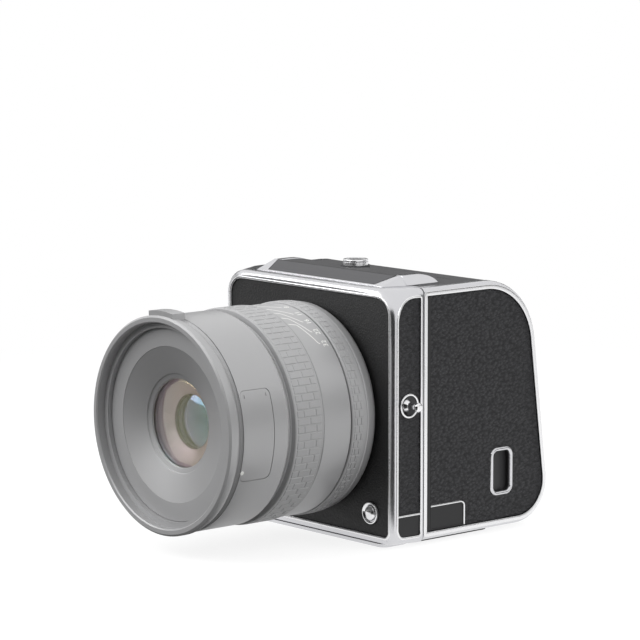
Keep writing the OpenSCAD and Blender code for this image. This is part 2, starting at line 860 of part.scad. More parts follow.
module base_screws() {
    color("dimgray") from_lip() {
        screw_row(front_screws()) screw(front_foot_t);
        screw_row(back_screws()) screw(back_foot_t);
    }
}

module tripod_bush() {
    color("darkgray") from_lip() translate([0, tripod_y, 0]) difference() {
        cylinder(r = bush_r, h = bush_h, $fn = round_fn);
        translate([0, 0, -over]) cylinder(d = tripod_bore, h = bush_h - bush_floor + over, $fn = round_fn);
    }
}

// Side profile of the back, drawn in by d, as true arcs and their tangents
module back_profile(d) {
    lean = [cos(rear_lean), sin(rear_lean)];
    translate(top_c) circle(back_r_top - d, $fn = 2 * round_fn);
    translate(low_c) circle(back_r_low - d, $fn = 2 * round_fn);
    polygon([[0, top_z - d], [top_c[0], top_z - d], top_c + (back_r_top - d) * lean,
        low_c + (back_r_low - d) * lean, [low_c[0], back_foot_t + d], [0, back_foot_t + d]]);
}

module side_panel_outline(grow, y0) {
    intersection() {
        back_profile(side_in - grow);
        translate([y0, 0]) square([back_d + seam_y, top_z]);
    }
}

module back_block() {
    difference() {
        hull() {
            for (c = [[top_c, back_r_top], [low_c, back_r_low],
                      [[seam_y - edge_r, top_z - seam_r], seam_r],
                      [[seam_y - edge_r, back_foot_t + seam_r], seam_r]])
                translate([-half_w, c[0][0], c[0][1]]) rotate([0, 90, 0]) puck(c[1], body_w, true);
        }
        translate([-body_w, seam_y - 2 * front_d, -over]) cube([2 * body_w, 2 * front_d, 2 * top_z]);
    }
}

// Space of the dark skin that wraps the top and the rear, between the bright rims
module wrap_band(skin, trim) {
    width = 2 * (wrap_half - trim);
    difference() {
        on_side(-width / 2, width) difference() {
            back_profile(skin ? seat_gap : -over);
            back_profile(skin ? skin_t : skin_t + seat_gap);
            square([seam_y + back_rim + trim, 2 * top_z]);
            square([2 * rear_y_max, back_foot_t + back_r_low / 2 + trim]);
        }
        hump_zone(slip_gap + trim, skin_t + over);
    }
}

module hump_zone(grow, depth) {
    hump_w = wedge_w + 2 * grow;
    translate([-hump_w / 2, 0, top_z - depth]) cube([hump_w, seam_y + hump_d + grow, 2 * depth]);
}

module rear_button_bar(i, grow, w0, w1) {
    on_rear() translate([(i - (rear_buttons + 1) / 2) * -rear_pitch, rear_button_v, w0])
        linear_extrude(w1 - w0) slot(rear_button_w + 2 * grow, rear_button_h + 2 * grow);
}

// Tilting screen: a slab whose upper edge is round about the hinge
module screen_slab() {
    on_rear() {
        translate([-screen_w / 2, screen_v, screen_proud - screen_t])
            cube([screen_w, screen_h - screen_t / 2, screen_t]);
        translate([-screen_w / 2, screen_pin_v, screen_pin_w]) rotate([0, 90, 0])
            cylinder(r = screen_t / 2, h = screen_w, $fn = round_fn);
    }
}

// Straight-sided pocket that lets the screen swing out past a right angle's reach
module screen_pocket() {
    on_rear() translate([-screen_w / 2 - lid_gap, screen_v - lid_gap, screen_proud - screen_t - lid_gap])
        cube([screen_w + 2 * lid_gap, screen_h + 2 * lid_gap, 2 * screen_t]);
}

module bay(x0, y0, z0, size) {
    translate([x0 - seat_gap, y0 - seat_gap, z0 - seat_gap])
        cube([size[0] + half_w, size[1] + 2 * seat_gap, size[2] + 2 * seat_gap]);
}

// Straight-sided pocket of the port cover, and its hinge pin
module port_pocket() {
    translate([-door_x - over, seam_y + port_y - lid_gap, port_z - lid_gap])
        cube([over + port_t + lid_gap, port_l + 2 * lid_gap, port_h + 2 * lid_gap]);
}

module port_pin_bar(grow, short) {
    translate([port_pin[0], port_pin[1], port_z - port_pin_seat + short])
        cylinder(r = port_pin_r + grow, h = port_h + 2 * (port_pin_seat - short), $fn = round_fn);
}

module usb_box(grow, shift) {
    translate([usb_x - grow - shift, usb_c[0] - usb_w / 2 - grow, usb_c[1] - usb_h / 2 - grow])
        cube([usb_l + 2 * grow, usb_w + 2 * grow, usb_h + 2 * grow]);
}

module carrier_space(grow, y0, t) {
    translate([-carrier_w / 2 - grow, y0, lens_z - carrier_h / 2 - grow])
        cube([carrier_w + 2 * grow, t, carrier_h + 2 * grow]);
}

module back_shell() {
    color("silver") from_lip() difference() {
        back_block();
        on_side(door_floor, half_w) side_panel_outline(0, door_y - lid_gap);
        on_side(-half_w - over, skin_depth + over) side_panel_outline(0, door_y - lid_gap);
        wrap_band(false, 0);
        carrier_space(seat_gap, seam_y - over, sensor_bay_y - seam_y + over);
        bay(battery_x, battery_y, battery_z, [battery_l, battery_d, battery_h]);
        for (i = [0, 1]) bay(card_x, card_y + i * card_pitch, card_z, [card_l, card_t, card_w]);
        screen_pocket();
        for (i = [1:rear_buttons])
            rear_button_bar(i, run_fit * 2, -rear_button_l - rear_travel - slip_gap, screen_t);
        port_pocket();
        port_pin_bar(pin_fit, 0);
        usb_box(seat_gap, 0);
        translate([door_pin[0], door_pin[1], door_low - pin_seat])
            cylinder(r = pin_r + pin_fit, h = door_high - door_low + 2 * pin_seat, $fn = round_fn);
        screen_pin(pin_fit, lid_gap);
        translate([0, seam_y + knob_y, top_z - knob_seat])
            cylinder(r = collar_r + seat_gap, h = 2 * knob_seat, $fn = round_fn);
        translate([0, seam_y + knob_y, top_z - knob_seat - knob_travel - slip_gap])
            cylinder(r = knob_r + 2 * run_fit, h = 2 * knob_seat, $fn = round_fn);
        translate([0, tripod_y, -over])
            cylinder(r = bush_r + seat_gap, h = bush_h + seat_gap + over, $fn = round_fn);
        screw_row(back_screws())
            cylinder(r = screw_head_r / 2 + seat_gap, h = screw_l + over, $fn = screw_fn);
    }
}

module screen_pin(grow, extra) {
    reach = screen_w + 2 * pin_seat + 2 * extra;
    on_rear() translate([-reach / 2, screen_pin_v, screen_pin_w]) rotate([0, 90, 0])
        cylinder(r = pin_r + grow, h = reach, $fn = round_fn);
}

module wrap_skin() {
    color("#3a3a3c") from_lip() difference() {
        wrap_band(true, seat_gap);
        screen_pocket();
        for (i = [1:rear_buttons]) rear_button_bar(i, run_fit * 2, -rear_button_l, screen_t);
        for (i = [0:speaker_holes - 1])
            translate([wrap_half - speaker_in - i * speaker_pitch, seam_y + hump_d + speaker_in,
                top_z - 2 * skin_t])
                cylinder(r = speaker_r, h = 4 * skin_t, $fn = screw_fn);
    }
}

// Hump behind the sloped plate: flat, then falling in a quarter ellipse
module hump_outline(drop) {
    run = hump_d - hump_flat;
    polygon(concat([[seam_y, top_z], [seam_y, top_z + wedge_h - drop]],
        [for (i = [0:hump_steps]) let (t = 90 * i / hump_steps)
            [seam_y + hump_flat + (run - drop) * sin(t), top_z + (wedge_h - drop) * cos(t)]]));
}

module hump_cover() {
    width = wedge_w_top - 2 * fin_w;
    color("#3a3a3c") from_lip() difference() {
        on_side(-width / 2, width) hump_outline(hump_drop);
        translate([0, seam_y + knob_y, top_z - over])
            cylinder(r = collar_r + seat_gap, h = wedge_h + 2 * over, $fn = round_fn);
    }
}

// Bright fins: flat inside, sloping outward to their foot
module hump_fins() {
    inner = wedge_w_top / 2 - fin_w + seat_gap;
    lean_out = (wedge_w - wedge_w_top) / 2;
    color("gainsboro") from_lip() for (side = [-1, 1]) mirror([side < 0 ? 1 : 0, 0, 0])
        intersection() {
            on_side(inner, wedge_w) hump_outline(0);
            on_front(seam_y - over, hump_d + 2 * over)
                polygon([[inner, top_z - over], [inner, top_z + wedge_h],
                    [wedge_w_top / 2, top_z + wedge_h], [wedge_w_top / 2 + lean_out, top_z],
                    [wedge_w_top / 2 + lean_out, top_z - over]]);
        }
}

module knob_collar() {
    height = knob_seat - seat_gap + wedge_h + knob_collar_h;
    color("silver") from_lip() translate([0, seam_y + knob_y, top_z - knob_seat + seat_gap])
        difference() {
            cylinder(r = collar_r, h = height, $fn = round_fn);
            translate([0, 0, -over])
                cylinder(r = knob_r + 2 * run_fit, h = height + 2 * over, $fn = round_fn);
        }
}

module release_knob() {
    height = knob_seat + wedge_h + knob_collar_h + knob_h;
    line_h = height - knob_cap;
    color("gainsboro") from_lip() translate([0, seam_y + knob_y, top_z - knob_seat])
        rotate_extrude($fn = round_fn)
            polygon(concat([[0, 0], [knob_r, 0], [knob_r, line_h - knob_line],
                [knob_r - knob_line, line_h], [knob_r, line_h + knob_line]],
                [for (i = [0:edge_steps]) let (t = 90 * i / edge_steps)
                    [knob_r - knob_round + knob_round * cos(t), height - knob_round + knob_round * sin(t)]],
                [[0, height]]));
}

module bezel_outline(w, h, r) {
    round_rect(bezel_c[0] - w / 2, bezel_c[1] - h / 2, bezel_c[0] + w / 2, bezel_c[1] + h / 2,
        [r, r, r, r]);
}

// Latch slider's plate, behind the window and wide enough to cover it over its travel
module latch_outline(grow, behind) {
    y0 = bezel_c[0] - window_w / 2 - latch_travel - latch_margin;
    y1 = bezel_c[0] + window_w / 2 + latch_margin;
    z1 = window_h / 2 + latch_margin;
    translate([y0 - grow, bezel_c[1] - z1 - grow])
        square([y1 - y0 + 2 * grow + behind, 2 * (z1 + grow)]);
}

// Small plate in the lower front corner of the door
module door_label_outline(grow) {
    intersection() {
        side_panel_outline(grow - lid_gap, door_pin[1] + seat_gap - grow);
        round_rect(0, 0, door_pin[1] + door_label_l + grow, door_low + door_label_h + grow,
            [door_label_r, door_label_r, door_label_r, door_label_r]);
    }
}

module side_door() {
    color("#2a2a2c") from_lip() difference() {
        union() {
            on_side(door_x - door_t, door_t - skin_t) side_panel_outline(-lid_gap, door_pin[1]);
            translate([door_pin[0], door_pin[1], door_low])
                cylinder(r = door_t / 2, h = door_high - door_low, $fn = round_fn);
        }
        on_side(door_x - skin_t, 2 * skin_t) translate([door_pin[1], 0]) square([back_d, top_z]);
        translate([door_pin[0], door_pin[1], door_low - over])
            cylinder(r = pin_r + run_fit, h = door_high - door_low + 2 * over, $fn = round_fn);
        on_side(door_x - 2 * door_t, 4 * door_t) bezel_outline(window_w, window_h, window_r);
        on_side(bezel_base, door_t)
            bezel_outline(bezel_w + 2 * seat_gap, bezel_h + 2 * seat_gap, bezel_r);
        on_side(door_x - door_t - over, latch_pocket + over)
            latch_outline(slip_gap, latch_travel);
    }
}

module door_skin() {
    color("#2c2c2e") from_lip() on_side(door_x - skin_t + seat_gap, skin_t - seat_gap) difference() {
        side_panel_outline(-lid_gap, door_pin[1] + seat_gap);
        door_label_outline(seat_gap);
        bezel_outline(bezel_w + 2 * seat_gap, bezel_h + 2 * seat_gap, bezel_r);
    }
}

// The plate keeps a raised rim flush with the skin
module door_label() {
    color("#1d1d1f") from_lip() difference() {
        on_side(door_x - skin_t + seat_gap, skin_t - seat_gap) door_label_outline(0);
        on_side(door_x - skin_t / 4, skin_t) door_label_outline(-door_label_rim);
    }
}

module latch_bezel() {
    base = bezel_base + seat_gap;
    color("gainsboro") from_lip() on_side(base, half_w + latch_proud - base) difference() {
        bezel_outline(bezel_w, bezel_h, bezel_r);
        bezel_outline(window_w, window_h, window_r);
    }
}

module door_latch() {
    pad_w = window_w - latch_travel - 2 * slip_gap;
    pad_h = window_h - 2 * slip_gap;
    pad_x = door_x - door_t + seat_gap;
    pad_y = bezel_c[0] - window_w / 2 + slip_gap;
    pad_z = bezel_c[1] - pad_h / 2;
    pad_r = window_r - slip_gap;
    color("#3a3a3c") from_lip() {
        on_side(pad_x, latch_t) latch_outline(0, 0);
        intersection() {
            translate([pad_x, pad_y, pad_z]) linear_extrude(pad_h)
                polygon([[0, 0], [latch_pad, 0], [latch_t, pad_w], [0, pad_w]]);
            on_side(pad_x, door_t)
                round_rect(pad_y, pad_z, pad_y + pad_w, pad_z + pad_h, [pad_r, pad_r, pad_r, pad_r]);
        }
    }
}

module door_hinge_pin() {
    color("gray") from_lip() translate([door_pin[0], door_pin[1], door_low - pin_seat + seat_gap])
        cylinder(r = pin_r, h = door_high - door_low + 2 * (pin_seat - seat_gap), $fn = round_fn);
}

module left_skin() {
    color("#2c2c2e") from_lip() difference() {
        on_side(-half_w + skin_sink, skin_t - seat_gap)
            side_panel_outline(-seat_gap, door_y - lid_gap + seat_gap);
        port_pocket();
    }
}

// Cover over the socket, with a round knuckle about its pin
module port_cover() {
    color("#232325") from_lip() difference() {
        union() {
            translate([-door_x, port_pin[1], port_z]) cube([port_t, port_l - port_t / 2, port_h]);
            translate([port_pin[0], port_pin[1], port_z])
                cylinder(r = port_t / 2, h = port_h, $fn = round_fn);
        }
        port_pin_bar(run_fit, 0);
    }
}

module port_hinge_pin() {
    color("gray") from_lip() port_pin_bar(0, seat_gap);
}

module usb_socket() {
    color("gainsboro") from_lip() difference() {
        usb_box(0, 0);
        usb_box(-usb_wall, 2 * usb_wall);
    }
}

module battery() {
    color("#303033") from_lip() translate([battery_x, battery_y, battery_z])
        cube([battery_l, battery_d, battery_h]);
}

// Two cards, each with its clipped corner
module memory_cards() {
    color("#27405f") from_lip() for (i = [0, 1])
        translate([card_x, card_y + i * card_pitch + card_t, card_z]) rotate([90, 0, 0])
            linear_extrude(card_t)
                polygon([[0, 0], [card_l, 0], [card_l, card_w], [card_clip, card_w],
                    [0, card_w - card_clip]]);
}

module sensor_carrier() {
    pocket_w = sensor_w + 2 * sensor_rim + 2 * seat_gap;
    pocket_h = sensor_h + 2 * sensor_rim + 2 * seat_gap;
    color("#404043") from_lip() difference() {
        carrier_space(0, carrier_y, carrier_t);
        translate([-sensor_w / 2, carrier_y - over, lens_z - sensor_h / 2])
            cube([sensor_w, carrier_t + 2 * over, sensor_h]);
        translate([-pocket_w / 2, carrier_y + carrier_t - sensor_t - 2 * seat_gap, lens_z - pocket_h / 2])
            cube([pocket_w, carrier_t, pocket_h]);
    }
}

module sensor() {
    width = sensor_w + 2 * sensor_rim;
    height = sensor_h + 2 * sensor_rim;
    color("#4a3a5a") from_lip()
        translate([-width / 2, carrier_y + carrier_t - sensor_t - seat_gap, lens_z - height / 2])
            cube([width, sensor_t, height]);
}

// Board with three shielding cans on its rear
module main_board() {
    color("darkgreen") from_lip() {
        carrier_space(0, board_y, board_t);
        for (i = [-1, 0, 1])
            translate([i * can_pitch - can_w / 2, board_y + board_t / 2, lens_z - can_l / 2])
                cube([can_w, board_t / 2 + can_h - seat_gap, can_l]);
    }
}

module screen_frame() {
    color("#1f1f21") from_lip() difference() {
        screen_slab();
        screen_pin(run_fit, over);
        on_rear() translate([-screen_w / 2 + screen_bezel, screen_v + screen_bezel, screen_proud - glass_t])
            cube([screen_w - 2 * screen_bezel, screen_h - screen_t / 2 - screen_bezel, 2 * glass_t]);
        on_rear() translate([0, screen_v, screen_proud - screen_t]) linear_extrude(screen_t - 2 * glass_t)
            slot(screen_lip_w, 2 * screen_bezel - glass_t);
    }
}

module screen_glass() {
    color("#101014") from_lip() on_rear()
        translate([-screen_w / 2 + screen_bezel + seat_gap, screen_v + screen_bezel + seat_gap,
            screen_proud - glass_t + seat_gap])
            cube([screen_w - 2 * screen_bezel - 2 * seat_gap,
                screen_h - screen_t / 2 - screen_bezel - 2 * seat_gap, glass_t - seat_gap]);
}

module screen_hinge_pin() {
    color("gray") from_lip() screen_pin(0, lid_gap - seat_gap);
}

module rear_button(i) {
    color("#29292b") from_lip() rear_button_bar(i, 0, -rear_button_l, rear_button_proud);
}

// Lens half of the bayonet: flange, tube and three claws behind the ledges
module lens_bayonet() {
    claw_foot = claw_a - claw_t;
    color("lightgray") from_lip() {
        tube(throat_r - throat_wall, sleeve_r - 2 * seat_gap, lens_a0, lens_a0 + flange_t);
        tube(throat_r - throat_wall, throat_r, claw_foot, lens_a0 + flange_t);
        intersection() {
            tube(throat_r - throat_wall, claw_r, claw_foot, claw_foot + claw_t);
            on_lens() for (i = [0:2]) rotate([0, 0, 120 * i + 90])
                translate([0, 0, claw_foot - over]) linear_extrude(claw_t + 2 * over)
                    sector(claw_angle, 2 * mount_r);
        }
    }
}

module lens_sleeve() {
    color("#8a8a8d") from_lip() tube(sleeve_in, sleeve_r, lens_a0 + flange_t + seat_gap, sleeve_a1);
}

module rear_barrel() {
    color("#a8a8aa") from_lip() lens_turn()
        polygon([[sleeve_r + seat_gap, lens_a0], [barrel_r - foot_taper, lens_a0],
            [barrel_r - foot_step, lens_a0 + foot_taper_l], [barrel_r, lens_a0 + rear_l],
            [sleeve_r + seat_gap, lens_a0 + rear_l]]);
}

module fluted_ring(a0, l, bore) {
    on_lens() translate([0, 0, a0]) difference() {
        union() {
            cylinder(r = ring_r - flute_depth - flute_root, h = l, $fn = round_fn);
            translate([0, 0, flute_rim]) fluted(ring_r, flute_depth, flutes, l - 2 * flute_rim);
        }
        translate([0, 0, -over]) cylinder(r = bore, h = l + 2 * over, $fn = round_fn);
    }
}

module control_ring() {
    color("#9a9a9d") from_lip() fluted_ring(control_a, control_l, sleeve_r + run_fit);
}

module scale_ring() {
    color("#a8a8aa") from_lip() tube(sleeve_r + seat_gap, barrel_r, scale_a, scale_a + scale_l);
}

module focus_slider() {
    color("#77777a") from_lip()
        tube(sleeve_r + run_fit, sleeve_r + slider_t, focus_a + slip_gap, focus_a + focus_l - slip_gap);
}

module focus_ring() {
    color("#9a9a9d") from_lip() fluted_ring(focus_a, focus_l, sleeve_r + slider_t + run_fit);
}

// Outline of the inlaid plate, pushed out along +X
module inlay_bar(grow) {
    a = rim_a - inlay_back;
    on_side(barrel_r / 2, barrel_r)
        round_rect(-a - inlay_l / 2 - grow, lens_z - inlay_h / 2 - grow, -a + inlay_l / 2 + grow,
            lens_z + inlay_h / 2 + grow, [inlay_r, inlay_r, inlay_r, inlay_r]);
}

module front_barrel() {
    line_a = rim_a - line_back;
    color("#a8a8aa") from_lip() difference() {
        union() {
            lens_turn() polygon(concat(
                [[sleeve_r + seat_gap, front_a], [barrel_r, front_a], [barrel_r, line_a]],
                [for (i = [0:2], k = [0:1])
                    [barrel_r - (1 - k) * line_depth, line_a + (i + k / 2) * line_pitch]],
                [[rim_r, rim_a - rim_l], [rim_r, rim_a - rim_round], [rim_r - rim_round, rim_a],
                 [filter_r + line_depth, rim_a], [filter_r, rim_a - line_depth],
                 [filter_r, rim_a - filter_d], [front_well_r, rim_a - filter_d],
                 [front_well_r, sleeve_a1 + seat_gap],
                 [sleeve_r + seat_gap, sleeve_a1 + seat_gap]]));
            intersection() {
                tube(barrel_r - over, rim_r + tab_h, rim_a - tab_back, rim_a - tab_front);
                on_lens() translate([-tab_w / 2, 0, 0]) cube([tab_w, 2 * rim_r, 2 * rim_a]);
            }
        }
        intersection() {
            tube(barrel_r - inlay_t, 2 * barrel_r, front_a, rim_a);
            inlay_bar(0);
        }
    }
}

module lens_inlay() {
    color("#8d8d90") from_lip() intersection() {
        tube(barrel_r - inlay_t + seat_gap, barrel_r - seat_gap, front_a, rim_a);
        inlay_bar(-seat_gap);
    }
}

// Flat front ring, cone and the cell that holds the front glass
module front_cone() {
    seat_r = glass_r + element_edge + seat_gap;
    color("#6f6f72") from_lip() lens_turn()
        polygon([[front_well_r - seat_gap, well_a], [cone_r, well_a], [glass_r, cone_a],
            [glass_r, cone_a - element_seat], [seat_r, cone_a - element_seat], [seat_r, cone_a - cell_l],
            [sleeve_in - seat_gap, cone_a - cell_l], [sleeve_in - seat_gap, cone_a + 2 * seat_gap],
            [front_well_r - seat_gap, cone_a + 2 * seat_gap]]);
}

// Front glass: domed in front, hollow behind
module front_element() {
    r = glass_r + element_edge;
    dome = glass_r - 4 * seat_gap;
    edge_a = cone_a - element_seat - seat_gap;
    foot_a = cone_a - cell_l;
    color("#88a09a") from_lip() lens_turn()
        polygon(concat(
            [for (i = [0:dome_steps]) let (t = i / dome_steps)
                [dome * t, edge_a + front_bulge * (1 - t * t)]],
            [[r, edge_a], [r, foot_a]],
            [for (i = [dome_steps:-1:0]) let (t = i / dome_steps)
                [dome * t, foot_a + rear_bulge * (1 - t * t)]]));
}

// Leaf shutter and iris module: ring, and a five-sided opening between its blades
module shutter_unit() {
    color("#37373a") from_lip() {
        tube(glass_r, sleeve_in - seat_gap, shutter_a0, shutter_a0 + shutter_l);
        on_lens() translate([0, 0, shutter_a0 + shutter_l / 2]) difference() {
            cylinder(r = glass_r + over, h = blade_t, $fn = round_fn);
            translate([0, 0, -over]) cylinder(r = iris_r, h = blade_t + 2 * over, $fn = 5);
        }
    }
}

module guide_rods() {
    a0 = lens_a0 + flange_t + seat_gap;
    color("silver") from_lip() on_lens() for (side = [-1, 1])
        translate([side * rod_c, 0, a0])
            cylinder(r = rod_r, h = shutter_a0 - a0 - seat_gap, $fn = screw_fn);
}

// Focusing group: carriage on two rods, with its glass
module focus_group() {
    carriage_r = rod_c + rod_r + group_wall;
    color("#55555a") from_lip() {
        difference() {
            tube(glass_r - over, carriage_r, group_a, group_a + group_l);
            on_lens() for (side = [-1, 1]) translate([side * rod_c, 0, group_a - over])
                cylinder(r = rod_r + run_fit, h = group_l + 2 * over, $fn = screw_fn);
        }
        lens_turn() polygon([[0, group_a], [group_glass_r, group_a + group_glass_edge],
            [group_glass_r, group_a + group_l - group_glass_edge], [0, group_a + group_l]]);
    }
}

module rear_element() {
    r = throat_r - throat_wall - seat_gap;
    color("#7f9a94") from_lip() lens_turn()
        polygon(concat([[0, lens_a0 + flange_t]],
            [[r, lens_a0 + flange_t], [r, claw_a]],
            [for (i = [dome_steps:-1:0]) let (t = i / dome_steps) [r * t, claw_a - over * (1 - t * t)]]));
}

front_frame();
front_panel();
mount_ring();
side_skins();
front_label();
strap_lugs();
release_bezel();
release_button();
control_dial();
shutter_button();
top_wedge();
name_plate();
base_plate();
base_screws();
back_shell();
wrap_skin();
hump_cover();
hump_fins();
knob_collar();
release_knob();
side_door();
door_skin();
door_label();
latch_bezel();
door_latch();
door_hinge_pin();
left_skin();
port_cover();
port_hinge_pin();
usb_socket();
battery();
memory_cards();
sensor_carrier();
sensor();
main_board();
screen_frame();
screen_glass();
screen_hinge_pin();
rear_button(1);  // rear_button_1
rear_button(2);  // rear_button_2
rear_button(3);  // rear_button_3
rear_button(4);  // rear_button_4
rear_button(5);  // rear_button_5
foot_plate();
tripod_bush();
lens_bayonet();
lens_sleeve();
rear_barrel();
control_ring();
scale_ring();
focus_slider();
focus_ring();
front_barrel();
lens_inlay();
front_cone();
front_element();
shutter_unit();
guide_rods();
focus_group();
rear_element();
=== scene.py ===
"""Looks of a medium format digital camera, built around its packed CAD frame."""

import json
import math

import bmesh
import bpy
import numpy as np
from mathutils import Matrix, Vector
from mathutils.bvhtree import BVHTree

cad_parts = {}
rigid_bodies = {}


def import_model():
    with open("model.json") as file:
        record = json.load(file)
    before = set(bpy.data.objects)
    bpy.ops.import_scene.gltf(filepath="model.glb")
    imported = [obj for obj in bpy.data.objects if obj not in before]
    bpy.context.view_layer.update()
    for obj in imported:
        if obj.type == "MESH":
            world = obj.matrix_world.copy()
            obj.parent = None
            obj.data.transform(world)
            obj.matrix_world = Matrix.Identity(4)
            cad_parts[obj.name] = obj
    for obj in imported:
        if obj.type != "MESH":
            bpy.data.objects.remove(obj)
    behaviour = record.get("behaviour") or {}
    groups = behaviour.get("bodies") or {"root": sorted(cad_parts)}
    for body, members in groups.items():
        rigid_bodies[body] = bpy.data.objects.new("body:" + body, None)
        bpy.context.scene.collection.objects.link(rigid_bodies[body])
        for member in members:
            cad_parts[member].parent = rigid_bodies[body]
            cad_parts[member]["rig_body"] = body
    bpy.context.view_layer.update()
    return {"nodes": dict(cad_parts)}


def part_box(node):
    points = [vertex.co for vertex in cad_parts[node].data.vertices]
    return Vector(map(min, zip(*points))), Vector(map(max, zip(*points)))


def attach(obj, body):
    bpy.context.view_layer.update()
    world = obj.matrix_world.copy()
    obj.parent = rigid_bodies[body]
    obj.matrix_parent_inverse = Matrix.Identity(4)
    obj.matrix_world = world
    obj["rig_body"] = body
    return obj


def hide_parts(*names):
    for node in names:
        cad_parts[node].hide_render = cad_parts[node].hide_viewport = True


bl_info = {
    "name": "Medium Format Camera Looks",
    "version": (1, 0, 0),
    "blender": (4, 5, 0),
    "location": "View3D > Sidebar > Camera",
    "description": "Chrome frames, leather, satin lens and studio for the packed camera",
    "category": "Object",
}

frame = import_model()
MM = 0.001
RIGHT = Vector((1, 0, 0))
FORWARD = Vector((0, -1, 0))
UP = Vector((0, 0, 1))


# Measures read from the frame, in millimetres

def box_mm(node):
    low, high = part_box(node)
    return low / MM, high / MM


FRONT_LOW, FRONT_HIGH = box_mm("front_frame")
BARREL_LOW, BARREL_HIGH = box_mm("front_barrel")
LIP_Y = FRONT_LOW.y
SEAM_Y = box_mm("back_shell")[0].y
HALF_W = FRONT_HIGH.x
LENS_Z = BARREL_LOW.z + BARREL_HIGH.x
BARREL_R = box_mm("scale_ring")[1].x
SLEEVE_R = box_mm("lens_sleeve")[1].x
RING_R = box_mm("focus_ring")[1].x

# Gap round a seated piece, and a distance that clears the whole camera
SEAT = 0.1
OUTSIDE = 100.0


def forward_span(node):
    """Rear and front end of a piece, as distances forward of the front lip."""
    low, high = box_mm(node)
    return LIP_Y - high.y, LIP_Y - low.y


def centre_of(node):
    low, high = box_mm(node)
    return (low + high) / 2


def radius_of(node):
    low, high = box_mm(node)
    return (high.x - low.x) / 2


# Sizes and colours that a user would change

class CameraFinish(bpy.types.PropertyGroup):
    chrome_colour: bpy.props.FloatVectorProperty(
        name="Chrome", description="Colour of the satin chrome frames", subtype="COLOR",
        size=3, min=0, max=1, default=(0.66, 0.66, 0.68))
    leather_colour: bpy.props.FloatVectorProperty(
        name="Leather", description="Colour of the leather-like skins", subtype="COLOR",
        size=3, min=0, max=1, default=(0.019, 0.019, 0.021))
    lens_colour: bpy.props.FloatVectorProperty(
        name="Lens", description="Colour of the lens's satin barrels", subtype="COLOR",
        size=3, min=0, max=1, default=(0.4, 0.4, 0.405))
    bead_width: bpy.props.FloatProperty(
        name="Lip width", description="Width of the polished lips", unit="LENGTH", default=0.95 * MM)
    bead_height: bpy.props.FloatProperty(
        name="Lip height", description="Height of the polished lips", unit="LENGTH", default=0.3 * MM)
    knurl_rows: bpy.props.IntProperty(
        name="Knurl rows", description="Rows of bricks round the lens rings", default=88, min=24)
    knurl_height: bpy.props.FloatProperty(
        name="Knurl height", description="Height of the knurl's bricks", unit="LENGTH",
        default=0.16 * MM)
    knurl_gap: bpy.props.FloatProperty(
        name="Knurl gap", description="Groove between the knurl's bricks", unit="LENGTH",
        default=0.34 * MM)
    edge_bevel: bpy.props.FloatProperty(
        name="Edge bevel", description="Bevel along the edges of the larger plates", unit="LENGTH",
        default=0.15 * MM)
    light_level: bpy.props.FloatProperty(
        name="Light level", description="Level of all the studio lamps", default=1.0, min=0)


# Small builders for node trees

def add_node(tree, kind, sockets=None, **settings):
    """Adds a node; sockets maps its inputs, by name or index, to values or to other sockets."""
    item = tree.nodes.new(kind)
    for key, value in settings.items():
        setattr(item, key, value)
    for key, value in (sockets or {}).items():
        if isinstance(value, bpy.types.NodeSocket):
            tree.links.new(value, item.inputs[key])
        else:
            item.inputs[key].default_value = value
    return item


def add_math(tree, operation, first, second=0.0, clamp=False):
    item = add_node(tree, "ShaderNodeMath", {0: first, 1: second}, operation=operation, use_clamp=clamp)
    return item.outputs[0]


def built_once(build):
    """Makes a node group's function build it at the first call and share it later."""
    def shared():
        return bpy.data.node_groups.get(build.__name__) or build()
    return shared


def shader_group(name, inputs, outputs):
    group = bpy.data.node_groups.new(name, "ShaderNodeTree")
    for label, value in inputs.items():
        socket = group.interface.new_socket(label, in_out="INPUT", socket_type="NodeSocketFloat")
        socket.default_value = value
    for label in outputs:
        group.interface.new_socket(label, in_out="OUTPUT", socket_type="NodeSocketFloat")
    return group, group.nodes.new("NodeGroupInput"), group.nodes.new("NodeGroupOutput")


def millimetres(tree):
    """Object coordinates in millimetres."""
    place = add_node(tree, "ShaderNodeTexCoord")
    scaled = add_node(tree, "ShaderNodeVectorMath", {0: place.outputs["Object"], "Scale": 1 / MM},
                      operation="SCALE")
    return scaled.outputs[0]


@built_once
def fine_grain():
    """Blasted or moulded grain: a fine Height and a broad, soft Tone."""
    group, source, result = shader_group("fine_grain", {"Scale": 5.0, "Patch": 0.06}, ["Height", "Tone"])
    place = millimetres(group)
    fine = add_node(group, "ShaderNodeTexNoise",
                    {"Vector": place, "Scale": source.outputs["Scale"], "Detail": 3.0})
    broad = add_node(group, "ShaderNodeTexNoise",
                     {"Vector": place, "Scale": source.outputs["Patch"], "Detail": 4.0, "Roughness": 0.6})
    mixed = add_math(group, "MULTIPLY_ADD", fine.outputs["Fac"], 0.5)
    group.links.new(add_math(group, "MULTIPLY", broad.outputs["Fac"], 0.5), mixed.node.inputs[2])
    group.links.new(fine.outputs["Fac"], result.inputs["Height"])
    group.links.new(mixed, result.inputs["Tone"])
    return group


